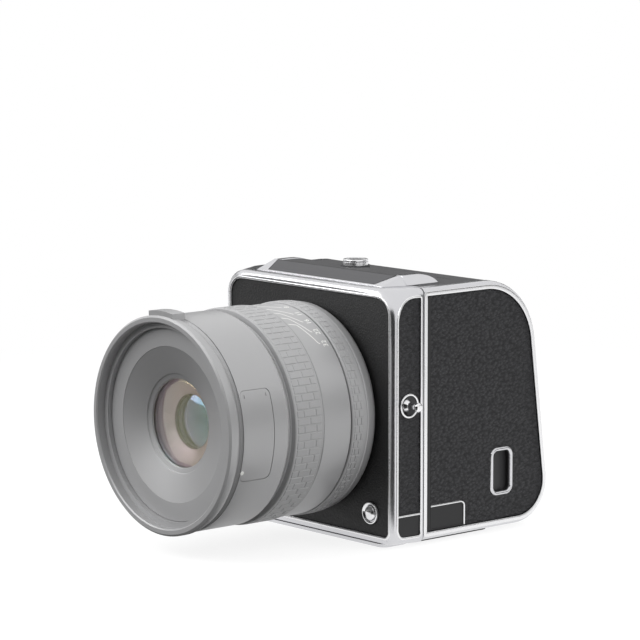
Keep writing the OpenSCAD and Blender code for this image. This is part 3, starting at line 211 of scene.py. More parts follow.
@built_once
def leather_grain():
    """Wrinkled leather: warped pebbles with creases between them."""
    group, source, result = shader_group("leather_grain", {"Cells": 1.0, "Warp": 0.9, "Stretch": 1.0},
                                         ["Height", "Tone"])
    parts = add_node(group, "ShaderNodeSeparateXYZ", {0: millimetres(group)})
    tall = add_math(group, "MULTIPLY", parts.outputs["Z"], source.outputs["Stretch"])
    place = add_node(group, "ShaderNodeCombineXYZ", {"X": parts.outputs["X"], "Y": parts.outputs["Y"],
                                                     "Z": tall}).outputs[0]
    warp = add_node(group, "ShaderNodeTexNoise", {"Vector": place, "Scale": 0.55, "Detail": 3.0})
    shift = add_node(group, "ShaderNodeVectorMath",
                     {0: warp.outputs["Color"], "Scale": source.outputs["Warp"]}, operation="SCALE")
    moved = add_node(group, "ShaderNodeVectorMath", {0: place, 1: shift.outputs[0]}, operation="ADD")
    cells = add_node(group, "ShaderNodeTexVoronoi",
                     {"Vector": moved.outputs[0], "Scale": source.outputs["Cells"]},
                     feature="SMOOTH_F1")
    pebble = add_node(group, "ShaderNodeMapRange",
                      {"Value": cells.outputs["Distance"], "From Min": 0.75, "From Max": 0.1},
                      interpolation_type="SMOOTHSTEP")
    fine = add_node(group, "ShaderNodeTexNoise", {"Vector": place, "Scale": 4.5, "Detail": 3.0})
    fold = add_node(group, "ShaderNodeTexNoise", {"Vector": place, "Scale": 0.22, "Detail": 5.0,
                                                  "Roughness": 0.65})
    height = add_math(group, "ADD", add_math(group, "MULTIPLY", pebble.outputs[0], 0.8),
                      add_math(group, "MULTIPLY", fine.outputs["Fac"], 0.2))
    # Painted shade: the colour follows the height, darker in the creases and lighter on the pebbles, with a
    # broad random tone from the folds.
    crease_shade_and_tone = add_math(group, "ADD", add_math(group, "MULTIPLY", height, 0.75),
                    add_math(group, "MULTIPLY", fold.outputs["Fac"], 0.25))
    group.links.new(height, result.inputs["Height"])
    group.links.new(crease_shade_and_tone, result.inputs["Tone"])
    return group


@built_once
def brushed_lines():
    """Fine lines along X, as on brushed metal."""
    group, source, result = shader_group("brushed_lines", {"Scale": 7.0, "Length": 0.02}, ["Height", "Tone"])
    place = add_node(group, "ShaderNodeSeparateXYZ", {0: millimetres(group)})
    along = add_math(group, "MULTIPLY", place.outputs["X"], source.outputs["Length"])
    stretched = add_node(group, "ShaderNodeCombineXYZ",
                         {"X": along, "Y": place.outputs["Y"], "Z": place.outputs["Z"]})
    lines = add_node(group, "ShaderNodeTexNoise", {"Vector": stretched.outputs[0],
                                                   "Scale": source.outputs["Scale"], "Detail": 4.0})
    group.links.new(lines.outputs["Fac"], result.inputs["Height"])
    group.links.new(lines.outputs["Fac"], result.inputs["Tone"])
    return group


# Finishes

OWN = "_detailed"


def plain_finish(name, colour, sockets):
    material = bpy.data.materials.new(name + OWN)
    material.use_nodes = True
    shader = material.node_tree.nodes["Principled BSDF"]
    shader.inputs["Base Color"].default_value = (*colour, 1)
    for key, value in sockets.items():
        shader.inputs[key].default_value = value
    return material


def grained(name, colour, group, values, depth, shade, rough, sockets=None):
    """Finish whose colour, roughness and bump follow a grain; the bump's depth is in millimetres."""
    material = plain_finish(name, colour, sockets or {})
    tree = material.node_tree
    shader = tree.nodes["Principled BSDF"]
    grain = add_node(tree, "ShaderNodeGroup", node_tree=group)
    for key, value in values.items():
        grain.inputs[key].default_value = value
    dark = tuple(c * (1 - shade) for c in colour)
    light = tuple(min(1.0, c * (1 + shade)) for c in colour)
    tint = add_node(tree, "ShaderNodeMix", {0: grain.outputs["Tone"], 6: (*dark, 1), 7: (*light, 1)},
                    data_type="RGBA")
    gloss = add_node(tree, "ShaderNodeMapRange", {"Value": grain.outputs["Tone"], "From Min": 0.25,
                                                  "From Max": 0.75, "To Min": rough[0], "To Max": rough[1]})
    tree.links.new(tint.outputs[2], shader.inputs["Base Color"])
    tree.links.new(gloss.outputs[0], shader.inputs["Roughness"])
    if depth:
        bump = add_node(tree, "ShaderNodeBump", {"Height": grain.outputs["Height"], "Strength": 1.0,
                                                 "Distance": depth * MM})
        tree.links.new(bump.outputs[0], shader.inputs["Normal"])
    return material


def blasted(name, colour, scale, patch, depth, shade, rough, sockets=None):
    """Finish with the fine grain."""
    return grained(name, colour, fine_grain(), {"Scale": scale, "Patch": patch}, depth, shade, rough, sockets)


def look():
    return bpy.context.scene.camera_finish


def satin_chrome():
    return blasted("satin_chrome", look().chrome_colour, scale=9.0, patch=0.05,
                   depth=0.0015, shade=0.05, rough=(0.2, 0.3), sockets={"Metallic": 1.0})


def bright_chrome():
    return blasted("bright_chrome", (0.84, 0.84, 0.85), scale=3.0, patch=0.1,
                   depth=0.0006, shade=0.03, rough=(0.08, 0.15), sockets={"Metallic": 1.0})


def lip_chrome():
    return blasted("lip_chrome", (0.86, 0.86, 0.87), scale=5.0, patch=0.1,
                   depth=0.001, shade=0.04, rough=(0.24, 0.32), sockets={"Metallic": 1.0})


# Painted shade: near-black chrome for the lugs' dished cups, standing in for the dark reflection and shade
# inside them.
def chrome_painted_shade():
    return blasted("chrome_painted_shade", (0.05, 0.05, 0.052), scale=4.0, patch=0.1,
                   depth=0.001, shade=0.1, rough=(0.18, 0.28), sockets={"Metallic": 1.0})


def black_panel():
    return blasted("black_panel", (0.015, 0.015, 0.0155), scale=1.7, patch=0.05,
                   depth=0.2, shade=0.8, rough=(0.42, 0.56), sockets={"Specular IOR Level": 0.4})


def leatherette():
    # Painted shade: the grain's tone darkens the creases to a quarter of the colour and lightens the pebbles.
    return grained("leatherette", look().leather_colour, leather_grain(),
                   {"Cells": 0.6, "Warp": 1.2, "Stretch": 1.9}, depth=0.55, shade=0.75,
                   rough=(0.5, 0.32), sockets={"Specular IOR Level": 0.3})


def dark_metal():
    return blasted("dark_metal", (0.06, 0.06, 0.062), scale=4.2, patch=0.04,
                   depth=0.04, shade=0.3, rough=(0.55, 0.7), sockets={"Specular IOR Level": 0.2})


def plate_metal():
    return grained("plate_metal", (0.075, 0.075, 0.08), brushed_lines(), {"Scale": 6.0},
                   depth=0.004, shade=0.22, rough=(0.34, 0.48), sockets={"Metallic": 0.6})


# Black of the printed labels, also used for the painted shadow line round the name plate.
def label_black():
    return blasted("label_black", (0.011, 0.011, 0.012), scale=6.0, patch=0.2,
                   depth=0.008, shade=0.2, rough=(0.36, 0.48), sockets={"Metallic": 0.1})


def black_plastic():
    return blasted("black_plastic", (0.016, 0.016, 0.017), scale=3.5, patch=0.1,
                   depth=0.012, shade=0.25, rough=(0.42, 0.56))


def steel():
    return blasted("steel", (0.47, 0.47, 0.48), scale=6.0, patch=0.2,
                   depth=0.002, shade=0.08, rough=(0.24, 0.36), sockets={"Metallic": 1.0})


def lens_satin():
    return blasted("lens_satin", look().lens_colour, scale=8.0, patch=0.05,
                   depth=0.004, shade=0.05, rough=(0.32, 0.4), sockets={"Metallic": 0.25})


def lens_knurl():
    return blasted("lens_knurl", tuple(c * 0.97 for c in look().lens_colour), scale=5.0, patch=0.12,
                   depth=0.012, shade=0.1, rough=(0.4, 0.52), sockets={"Metallic": 0.1})


# Painted light: the groove's colour is twice the lens grey, so that the deep groove round the sleeve stays
# light where its own shade would darken it.
def lens_groove_painted_light():
    return blasted("lens_groove_painted_light", (0.8, 0.8, 0.805), scale=5.0, patch=0.12,
                   depth=0.006, shade=0.1, rough=(0.4, 0.5), sockets={"Metallic": 0.2})


def lens_inner():
    return blasted("lens_inner", (0.47, 0.47, 0.475), scale=7.0, patch=0.05,
                   depth=0.004, shade=0.06, rough=(0.36, 0.44), sockets={"Metallic": 0.65})


def mark_white():
    return blasted("mark_white", (0.83, 0.83, 0.8), scale=6.0, patch=0.3,
                   depth=0.004, shade=0.05, rough=(0.45, 0.6))


def coated_glass():
    return blasted("coated_glass", (0.97, 0.97, 0.96), scale=1.0, patch=0.06,
                   depth=0.0, shade=0.01, rough=(0.015, 0.03), sockets={
                       "Transmission Weight": 1.0, "IOR": 1.5, "Thin Film Thickness": 420.0,
                       "Thin Film IOR": 1.7})


# Painted reflection: the inner element is a green, half-metallic surface, standing in for the green
# reflection of its coating.
def inner_glass():
    return blasted("inner_glass", (0.12, 0.17, 0.14), scale=0.2, patch=0.05,
                   depth=0.0002, shade=0.25, rough=(0.05, 0.09), sockets={
                       "Metallic": 0.55, "Thin Film Thickness": 330.0, "Thin Film IOR": 1.9})


# Painted reflection: the cell's pinkish tint stands in for the warm reflection across the front glass.
def inner_cell():
    return blasted("inner_cell", (0.3, 0.26, 0.245), scale=5.0, patch=0.08,
                   depth=0.004, shade=0.12, rough=(0.3, 0.4), sockets={"Metallic": 0.2})


def screen_black():
    return blasted("screen_black", (0.006, 0.006, 0.007), scale=0.6, patch=0.03,
                   depth=0.0004, shade=0.3, rough=(0.04, 0.09),
                   sockets={"Coat Weight": 0.6, "Coat Roughness": 0.03})


def sensor_stack():
    return grained("sensor_stack", (0.05, 0.04, 0.075), brushed_lines(), {"Scale": 3.0, "Length": 1.0},
                   depth=0.0005, shade=0.3, rough=(0.06, 0.12),
                   sockets={"Metallic": 0.6, "Thin Film Thickness": 360.0, "Thin Film IOR": 1.7})


def board_green():
    # Painted shade from the leather grain: darker in the creases between its pebbles.
    return grained("board_green", (0.015, 0.075, 0.035), leather_grain(), {"Cells": 0.6, "Warp": 0.0},
                   depth=0.03, shade=0.4, rough=(0.3, 0.45))


def card_blue():
    return blasted("card_blue", (0.025, 0.055, 0.12), scale=5.0, patch=0.1,
                   depth=0.006, shade=0.2, rough=(0.4, 0.52))


FINISHES = {maker.__name__: maker for maker in (
    satin_chrome, bright_chrome, lip_chrome, chrome_painted_shade, black_panel, leatherette, dark_metal, plate_metal,
    label_black, black_plastic, steel, lens_satin, lens_knurl, lens_groove_painted_light, lens_inner, mark_white,
    coated_glass, inner_glass, inner_cell, screen_black, sensor_stack, board_green, card_blue)}

# Finishes without a slot of their own, and the slot that each of them goes in
SLOT_OF = {"lip_chrome": "bright_chrome", "chrome_painted_shade": "bright_chrome", "plate_metal": "dark_metal",
           "lens_groove_painted_light": "lens_inner", "mark_white": "lens_satin", "inner_glass": "coated_glass",
           "inner_cell": "lens_inner"}


def finish(name):
    """The detailed material of this name, apart from the frame's plain one."""
    return bpy.data.materials.get(name + OWN) or FINISHES[name]()


# Meshes in millimetres

def add_object(name, data):
    item = bpy.data.objects.new(name, data)
    bpy.context.scene.collection.objects.link(item)
    return item


def mesh_from(bm, name):
    mesh = bpy.data.meshes.new(name)
    bm.to_mesh(mesh)
    bm.free()
    return mesh


def place_piece(name, mesh, coat, body, replaces=()):
    """Finishes a mesh in metres as a piece that rides on a body."""
    mesh.materials.clear()
    mesh.materials.append(finish(coat))
    item = add_object(name, mesh)
    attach(item, body)
    SLOT_OF.get(coat, coat)
    if replaces:
        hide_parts(*replaces)
    return item


def piece(name, bm, coat, body, replaces=(), sharp=35, weighted=False):
    """Turns a bmesh in millimetres into a finished piece that rides on a body."""
    limit = math.radians(sharp)
    for face in bm.faces:
        face.smooth = True
    for edge in bm.edges:
        edge.smooth = len(edge.link_faces) == 2 and edge.calc_face_angle(0) < limit
    bm.transform(Matrix.Scale(MM, 4))
    mesh = mesh_from(bm, name)
    if weighted:
        mesh = modified(mesh, "WEIGHTED_NORMAL", keep_sharp=True, weight=50, mode="FACE_AREA_WITH_ANGLE")
    return place_piece(name, mesh, coat, body, replaces)


def modified(mesh, kind, **settings):
    """The mesh with a modifier applied."""
    holder = add_object("holder", mesh)
    modifier = holder.modifiers.new("step", kind)
    for key, value in settings.items():
        setattr(modifier, key, value)
    return taken_mesh(holder)


def taken_mesh(holder):
    """Evaluated mesh of a helper object, which is then removed."""
    bpy.context.view_layer.update()
    evaluated = holder.evaluated_get(bpy.context.evaluated_depsgraph_get())
    mesh = bpy.data.meshes.new_from_object(evaluated)
    bpy.data.objects.remove(holder)
    return mesh


def merged(node):
    """Copy of a CAD node as one closed bmesh, in millimetres."""
    bm = bmesh.new()
    bm.from_mesh(frame["nodes"][node].data)
    bm.transform(Matrix.Scale(1 / MM, 4))
    bmesh.ops.remove_doubles(bm, verts=bm.verts, dist=0.0005)
    return bm


def flattened(node):
    """Copy of a CAD node with each flat face in one piece."""
    bm = merged(node)
    bmesh.ops.dissolve_limit(bm, angle_limit=math.radians(1), verts=bm.verts, edges=bm.edges)
    return bm


def bevel_edges(bm, sharp, width, segments):
    limit = math.radians(sharp)
    edges = [e for e in bm.edges if len(e.link_faces) == 2 and e.calc_face_angle(0) > limit]
    bmesh.ops.bevel(bm, geom=edges, offset=width, segments=segments, profile=0.5, affect="EDGES",
                    clamp_overlap=True)


def body_of(node):
    return frame["nodes"][node]["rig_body"]


def smooth_copy(node, coat, sharp=30):
    return piece(node + "_skin", merged(node), coat, body_of(node), (node,), sharp, weighted=True)


def split_dense(bm, reach, sharp, passes=5):
    """Splits the long edges of faces that bend softly into their neighbours."""
    bmesh.ops.triangulate(bm, faces=bm.faces)
    bent = bm.faces.layers.int.new("bent")
    low, high = math.radians(1), math.radians(sharp)
    for edge in bm.edges:
        if len(edge.link_faces) == 2 and low < edge.calc_face_angle(0) < high:
            for face in edge.link_faces:
                face[bent] = 1
    for _ in range(passes):
        edges = [e for e in bm.edges if e.calc_length() > reach and any(f[bent] for f in e.link_faces)]
        bmesh.ops.subdivide_edges(bm, edges=edges, cuts=1)
        bmesh.ops.triangulate(bm, faces=[f for f in bm.faces if len(f.verts) > 3])
    bm.faces.layers.int.remove(bent)


def smooth_fans(bm, sharp):
    """Number of the smooth fan that each face corner belongs to, and the fans that share an edge."""
    limit = math.radians(sharp)
    soft = {e for e in bm.edges if len(e.link_faces) == 2 and e.calc_face_angle(0) < limit}
    fan = {}
    count = 0
    for vert in bm.verts:
        left = {loop.face: loop for loop in vert.link_loops}
        while left:
            stack = [left.popitem()[1]]
            while stack:
                loop = stack.pop()
                fan[loop] = count
                for edge in (loop.edge, loop.link_loop_prev.edge):
                    if edge in soft:
                        stack += [left.pop(f) for f in edge.link_faces if f in left]
            count += 1
    pairs = [(fan[e.link_loops[0]], fan[e.link_loops[0].link_loop_next]) for e in soft]
    return fan, np.array(pairs), count


def blended_copy(node, coat, bevel=0.0, sharp=40, reach=1.2, rounds=20):
    """Copy of a CAD piece whose shading flows from one surface into the next, save at sharp edges."""
    bm = flattened(node) if bevel else merged(node)
    if bevel:
        bevel_edges(bm, 15, bevel, 4)
    split_dense(bm, reach, sharp)
    fan, pairs, count = smooth_fans(bm, sharp)
    normals = np.zeros((count, 3))
    for face in bm.faces:
        for loop in face.loops:
            normals[fan[loop]] += np.array(face.normal) * loop.calc_angle()
    for _ in range(rounds):
        total = normals.copy()
        np.add.at(total, pairs[:, 0], normals[pairs[:, 1]])
        np.add.at(total, pairs[:, 1], normals[pairs[:, 0]])
        normals = total / np.maximum(np.linalg.norm(total, axis=1, keepdims=True), 1e-9)
    corners = [tuple(normals[fan[loop]]) for face in bm.faces for loop in face.loops]
    item = piece(node + "_blended", bm, coat, body_of(node), (node,), sharp)
    item.data.normals_split_custom_set(corners)
    return item


def bevelled_copy(node, coat, width=None, sharp=30, segments=2):
    """Copy of a plain CAD piece with its hard edges bevelled."""
    bm = flattened(node)
    bevel_edges(bm, sharp, width or look().edge_bevel / MM, segments)
    bmesh.ops.triangulate(bm, faces=[f for f in bm.faces if len(f.verts) > 4])
    return piece(node + "_finished", bm, coat, body_of(node), (node,), sharp, weighted=True)


def line_inside(item, coat, depth=0.3):
    """Gives the faces of a hollow piece that lie deeper than this in its convex hull another finish."""
    bm = bmesh.new()
    for vert in item.data.vertices:
        bm.verts.new(vert.co)
    bmesh.ops.convex_hull(bm, input=bm.verts)
    tree = BVHTree.FromBMesh(bm)
    bm.free()
    item.data.materials.append(finish(coat))
    for face in item.data.polygons:
        face.material_index = int(tree.find_nearest(face.center)[3] > depth * MM)


def dress(coat, *nodes):
    """Gives CAD nodes that stay as they are a finish."""
    for node in nodes:
        mesh = frame["nodes"][node].data
        mesh.materials.clear()
        mesh.materials.append(finish(coat))


FILLET_STEPS = 5


def rounded(profile):
    """Points of a profile with fillets: each entry is (r, h) or (r, h, fillet)."""
    points = []
    for i, entry in enumerate(profile):
        here = Vector(entry[:2])
        if len(entry) < 3:
            points.append(here)
            continue
        before = Vector(profile[i - 1][:2]) - here
        after = Vector(profile[(i + 1) % len(profile)][:2]) - here
        reach = min(entry[2] / math.tan(before.angle(after) / 2), before.length / 2, after.length / 2)
        start = here + before.normalized() * reach
        end = here + after.normalized() * reach
        for k in range(FILLET_STEPS + 1):
            t = k / FILLET_STEPS
            points.append(start * (1 - t) ** 2 + here * 2 * t * (1 - t) + end * t ** 2)
    return points


def turned(profile, origin, axis, segments=96):
    """Body of revolution: profile of (r, h) about an axis, closed at the poles or round its loop."""
    across = axis.orthogonal().normalized()
    upward = axis.cross(across)
    bm = bmesh.new()
    rings = []
    for r, h in rounded(profile):
        if r < 1e-6:
            rings.append([bm.verts.new(origin + axis * h)] * segments)
            continue
        angles = [2 * math.pi * i / segments for i in range(segments)]
        rings.append([bm.verts.new(origin + axis * h + (across * math.cos(t) + upward * math.sin(t)) * r)
                      for t in angles])
    pairs = list(zip(rings, rings[1:]))
    if rings[0][0] is not rings[0][1]:
        pairs.append((rings[-1], rings[0]))
    for low, high in pairs:
        for i in range(segments):
            j = (i + 1) % segments
            corners = list(dict.fromkeys((low[i], low[j], high[j], high[i])))
            if len(corners) > 2:
                bm.faces.new(corners)
    bmesh.ops.recalc_face_normals(bm, faces=bm.faces)
    return bm


def lens_turned(profile, segments=192):
    """Body of revolution about the lens axis; h runs forward from the lip."""
    return turned(profile, Vector((0, LIP_Y, LENS_Z)), FORWARD, segments)


def on_barrel(theta, along, r):
    """Point on the lens: degrees from the top towards +X, distance forward of the lip, radius."""
    t = math.radians(theta)
    return Vector((r * math.sin(t), LIP_Y - along, LENS_Z + r * math.cos(t)))


def swept(path, outs, half_width, height, closed=True, sides=12, power=1.0):
    """Rounded bead along a path; outs gives the outward direction at each point, or one for all.
    A power below one makes the section squarer."""
    bm = bmesh.new()
    count = len(path)
    if isinstance(outs, Vector):
        outs = [outs] * count
    rings = []
    for i, point in enumerate(path):
        last = path[i - 1] if closed or i else point
        following = path[(i + 1) % count] if closed or i < count - 1 else point
        side = (following - last).normalized().cross(outs[i]).normalized()
        ring = []
        for k in range(sides):
            t = 2 * math.pi * k / sides
            u, v = (math.copysign(abs(w) ** power, w) for w in (math.cos(t), math.sin(t)))
            ring.append(bm.verts.new(point + side * half_width * u + outs[i] * height * v))
        rings.append(ring)
    pairs = list(zip(rings, rings[1:]))
    if closed:
        pairs.append((rings[-1], rings[0]))
    for first, second in pairs:
        for k in range(sides):
            m = (k + 1) % sides
            bm.faces.new((first[k], first[m], second[m], second[k]))
    if not closed:
        bm.faces.new(rings[0])
        bm.faces.new(rings[-1])
    bmesh.ops.recalc_face_normals(bm, faces=bm.faces)
    return bm


def outer_loop(node, facing, spacing=0.2):
    """Longest outline of a CAD node's flat face that looks along facing, in millimetres."""
    bm = merged(node)
    level = {f: f.calc_center_median().dot(facing) for f in bm.faces if f.normal.dot(facing) > 0.999}
    top = max(level.values())
    faces = {f for f, h in level.items() if top - h < 0.05}
    links = {}
    for edge in bm.edges:
        if sum(f in faces for f in edge.link_faces) == 1:
            for a, b in (edge.verts, reversed(edge.verts)):
                links.setdefault(a, []).append(b)
    loops = []
    while links:
        here = next(iter(links))
        loop = []
        while here in links:
            loop.append(here.co.copy())
            onward = [v for v in links.pop(here) if v in links]
            here = onward[0] if onward else None
        loops.append(loop)
    bm.free()
    loop = max(loops, key=lambda points: sum((a - b).length for a, b in zip(points, points[1:])))
    spaced = [loop[0]]
    for point in loop[1:]:
        if (point - spaced[-1]).length > spacing and (point - spaced[0]).length > spacing:
            spaced.append(point)
    area = sum((a.cross(b) for a, b in zip(spaced, spaced[1:] + spaced[:1])), Vector())
    return spaced if area.dot(facing) > 0 else spaced[::-1]


def main_normal(node):
    """Normal of a CAD node's largest flat face that looks upward."""
    bm = flattened(node)
    face = max((f for f in bm.faces if f.normal.z > 0), key=lambda f: f.calc_area())
    normal = face.normal.copy()
    bm.free()
    return normal


def grown(loop, facing, distance):
    """Outline moved outward in its own plane."""
    result = []
    for i, point in enumerate(loop):
        before = (point - loop[i - 1]).normalized().cross(facing)
        after = (loop[(i + 1) % len(loop)] - point).normalized().cross(facing)
        result.append(point + (before + after) * distance / max(0.5, 1 + before.dot(after)))
    return result


def subdivided(loop, step=1.5):
    """Closed outline with extra points on its long straights, so that it can follow a surface."""
    points = []
    for a, b in zip(loop, loop[1:] + loop[:1]):
        count = max(1, int((b - a).length / step))
        points += [a.lerp(b, k / count) for k in range(count)]
    return points


def laid_on(points, node, side):
    """Points pushed along X onto a CAD node's outside, on the side given by its sign."""
    tree = BVHTree.FromBMesh(merged(node))
    laid = []
    for p in points:
        hit = tree.ray_cast(Vector((side * OUTSIDE, p.y, p.z)), RIGHT * -side)[0]
        laid.append(Vector((hit.x if hit else p.x, p.y, p.z)))
    return laid


def mirrored(loop):
    return [Vector((-p.x, p.y, p.z)) for p in loop]


def joined(*parts):
    """One bmesh from several."""
    whole = bmesh.new()
    for part in parts:
        mesh = mesh_from(part, "part")
        whole.from_mesh(mesh)
        bpy.data.meshes.remove(mesh)
    return whole


# Geometry node trees for what repeats

def geometry_tree(name, sockets):
    tree = bpy.data.node_groups.new(name, "GeometryNodeTree")
    tree.interface.new_socket("Geometry", in_out="INPUT", socket_type="NodeSocketGeometry")
    for label, kind in sockets.items():
        tree.interface.new_socket(label, in_out="INPUT", socket_type=kind)
    tree.interface.new_socket("Geometry", in_out="OUTPUT", socket_type="NodeSocketGeometry")
    return tree, tree.nodes.new("NodeGroupInput").outputs, tree.nodes.new("NodeGroupOutput").inputs[0]


def grown_mesh(tree, values, points=()):
    """Mesh that a geometry tree makes with these inputs, from these points in millimetres."""
    mesh = bpy.data.meshes.new("points")
    mesh.from_pydata([p * MM for p in points], [], [])
    holder = add_object("grower", mesh)
    modifier = holder.modifiers.new("grow", "NODES")
    modifier.node_group = tree
    for item in tree.interface.items_tree:
        if item.item_type == "SOCKET" and item.in_out == "INPUT" and item.name in values:
            modifier[item.identifier] = values[item.name]
    return taken_mesh(holder)


@built_once
def brick_knurl():
    """Staggered rows of tapered bricks round the lens axis."""
    real = "NodeSocketFloat"
    tree, given, result = geometry_tree("brick_knurl", {
        "Radius": real, "Length": real, "Height": real, "Gap": real, "Rows": "NodeSocketInt",
        "Start": real, "Axis Height": real, "Taper": real, "Finish": "NodeSocketMaterial"})
    turn = add_math(tree, "DIVIDE", 2 * math.pi, given["Rows"])
    width = add_math(tree, "SUBTRACT", add_math(tree, "MULTIPLY", turn, given["Radius"]), given["Gap"])
    centre = add_math(tree, "SUBTRACT", given["Radius"], add_math(tree, "MULTIPLY", given["Height"], 0.5))

    def brick(share, middle):
        length = add_math(tree, "SUBTRACT", add_math(tree, "MULTIPLY", given["Length"], share), given["Gap"])
        size = add_node(tree, "ShaderNodeCombineXYZ", {"X": given["Height"], "Y": width, "Z": length})
        cube = add_node(tree, "GeometryNodeMeshCube", {"Size": size.outputs[0]})
        spot = add_node(tree, "ShaderNodeSeparateXYZ",
                        {0: add_node(tree, "GeometryNodeInputPosition").outputs[0]})
        top = add_node(tree, "FunctionNodeCompare",
                       {0: spot.outputs["X"], 1: add_math(tree, "MULTIPLY", given["Height"], 0.4)},
                       operation="GREATER_THAN", data_type="FLOAT")
        taper = add_node(tree, "GeometryNodeScaleElements",
                         {"Geometry": cube.outputs["Mesh"], "Selection": top.outputs[0],
                          "Scale": given["Taper"]}, domain="FACE")
        place = add_node(tree, "ShaderNodeCombineXYZ",
                         {"X": centre, "Z": add_math(tree, "MULTIPLY", given["Length"], middle)})
        return add_node(tree, "GeometryNodeTransform", {"Geometry": taper.outputs[0],
                                                        "Translation": place.outputs[0]}).outputs[0]

    rows = add_node(tree, "GeometryNodeJoinGeometry")
    for bricks in ([(0.5, 0.25), (0.5, 0.75)], [(0.25, 0.125), (0.5, 0.5), (0.25, 0.875)]):
        row = add_node(tree, "GeometryNodeJoinGeometry")
        for share, middle in bricks:
            tree.links.new(brick(share, middle), row.inputs[0])
        whole = add_node(tree, "GeometryNodeGeometryToInstance", {0: row.outputs[0]})
        tree.links.new(whole.outputs[0], rows.inputs[0])
    index = add_node(tree, "GeometryNodeInputIndex").outputs[0]
    angle = add_node(tree, "ShaderNodeCombineXYZ", {"Z": add_math(tree, "MULTIPLY", index, turn)})
    spin = add_node(tree, "FunctionNodeEulerToRotation", {0: angle.outputs[0]})
    points = add_node(tree, "GeometryNodePoints", {"Count": given["Rows"]})
    ring = add_node(tree, "GeometryNodeInstanceOnPoints", {
        "Points": points.outputs[0], "Instance": rows.outputs[0], "Pick Instance": True,
        "Instance Index": add_math(tree, "MODULO", index, 2.0), "Rotation": spin.outputs[0]})
    real_mesh = add_node(tree, "GeometryNodeRealizeInstances", {"Geometry": ring.outputs[0]})
    seat = add_node(tree, "ShaderNodeCombineXYZ", {"Y": given["Start"], "Z": given["Axis Height"]})
    laid = add_node(tree, "GeometryNodeTransform", {
        "Geometry": real_mesh.outputs[0], "Translation": seat.outputs[0],
        "Rotation": (math.pi / 2, 0, 0)})
    coated = add_node(tree, "GeometryNodeSetMaterial", {"Geometry": laid.outputs[0],
                                                        "Material": given["Finish"]})
    tree.links.new(coated.outputs[0], result)
    return tree


@built_once
def screw_heads():
    """Slotted screw heads on points, all looking the same way."""
    real = "NodeSocketFloat"
    tree, given, result = geometry_tree("screw_heads", {
        "Radius": real, "Height": real, "Slot": real, "Facing": "NodeSocketRotation",
        "Finish": "NodeSocketMaterial"})
    head = add_node(tree, "GeometryNodeMeshCylinder", {"Vertices": 32, "Radius": given["Radius"],
                                                       "Depth": given["Height"]})
    size = add_node(tree, "ShaderNodeCombineXYZ", {
        "X": add_math(tree, "MULTIPLY", given["Radius"], 3.0), "Y": given["Slot"], "Z": given["Height"]})
    bar = add_node(tree, "GeometryNodeMeshCube", {"Size": size.outputs[0]})
    lift = add_node(tree, "ShaderNodeCombineXYZ", {"Z": add_math(tree, "MULTIPLY", given["Height"], 0.6)})
    raised = add_node(tree, "GeometryNodeTransform", {"Geometry": bar.outputs["Mesh"],
                                                      "Translation": lift.outputs[0]})
    cut = add_node(tree, "GeometryNodeMeshBoolean", {"Mesh 1": head.outputs["Mesh"],
                                                     "Mesh 2": raised.outputs[0]}, operation="DIFFERENCE")
    heads = add_node(tree, "GeometryNodeInstanceOnPoints", {
        "Points": given["Geometry"], "Instance": cut.outputs[0], "Rotation": given["Facing"]})
    real_mesh = add_node(tree, "GeometryNodeRealizeInstances", {"Geometry": heads.outputs[0]})
    coated = add_node(tree, "GeometryNodeSetMaterial", {"Geometry": real_mesh.outputs[0],
                                                        "Material": given["Finish"]})
    tree.links.new(coated.outputs[0], result)
    return tree


# Front body

def bead(name, loop, out, body, share=1.0):
    half = look().bead_width / MM / 2 * share
    return piece(name, swept(loop, out, half, look().bead_height / MM, sides=16), "lip_chrome", body)


def side_fields(skin, distance, carrier):
    """Outline round a skin on both sides, laid on what carries it: sign of the side, label, points."""
    field = grown(outer_loop(skin, -RIGHT), -RIGHT, distance)
    for side, label in ((-1, "left"), (1, "right")):
        loop = subdivided(field if side < 0 else mirrored(field))
        yield side, label, laid_on(loop, carrier, side)


def front_body():
    blended_copy("front_frame", "satin_chrome", rounds=70)
    bevelled_copy("front_panel", "black_panel")
    dress("steel", "mount_ring")
    lip = grown(outer_loop("front_panel", FORWARD), FORWARD, SEAT + 0.5)
    bead("front_lip", [Vector((p.x, LIP_Y + 0.05, p.z)) for p in lip], FORWARD, "body")
    dress("leatherette", "side_skins")
    for side, label, loop in side_fields("side_skins", SEAT + 0.42, "front_frame"):
        bead(f"side_lip_{label}", loop, RIGHT * side, "body", 0.9)
    bevelled_copy("front_label", "label_black", width=0.12)
    low, high = box_mm("front_label")
    line_z = high.z + 0.4
    line = [Vector((HALF_W - 0.1, y, line_z)) for y in (low.y - 0.1, high.y + 0.1)]
    piece("front_label_line", swept(line, RIGHT, half_width=0.32, height=0.22, closed=False),
          "bright_chrome", "body")
    strap_lugs()


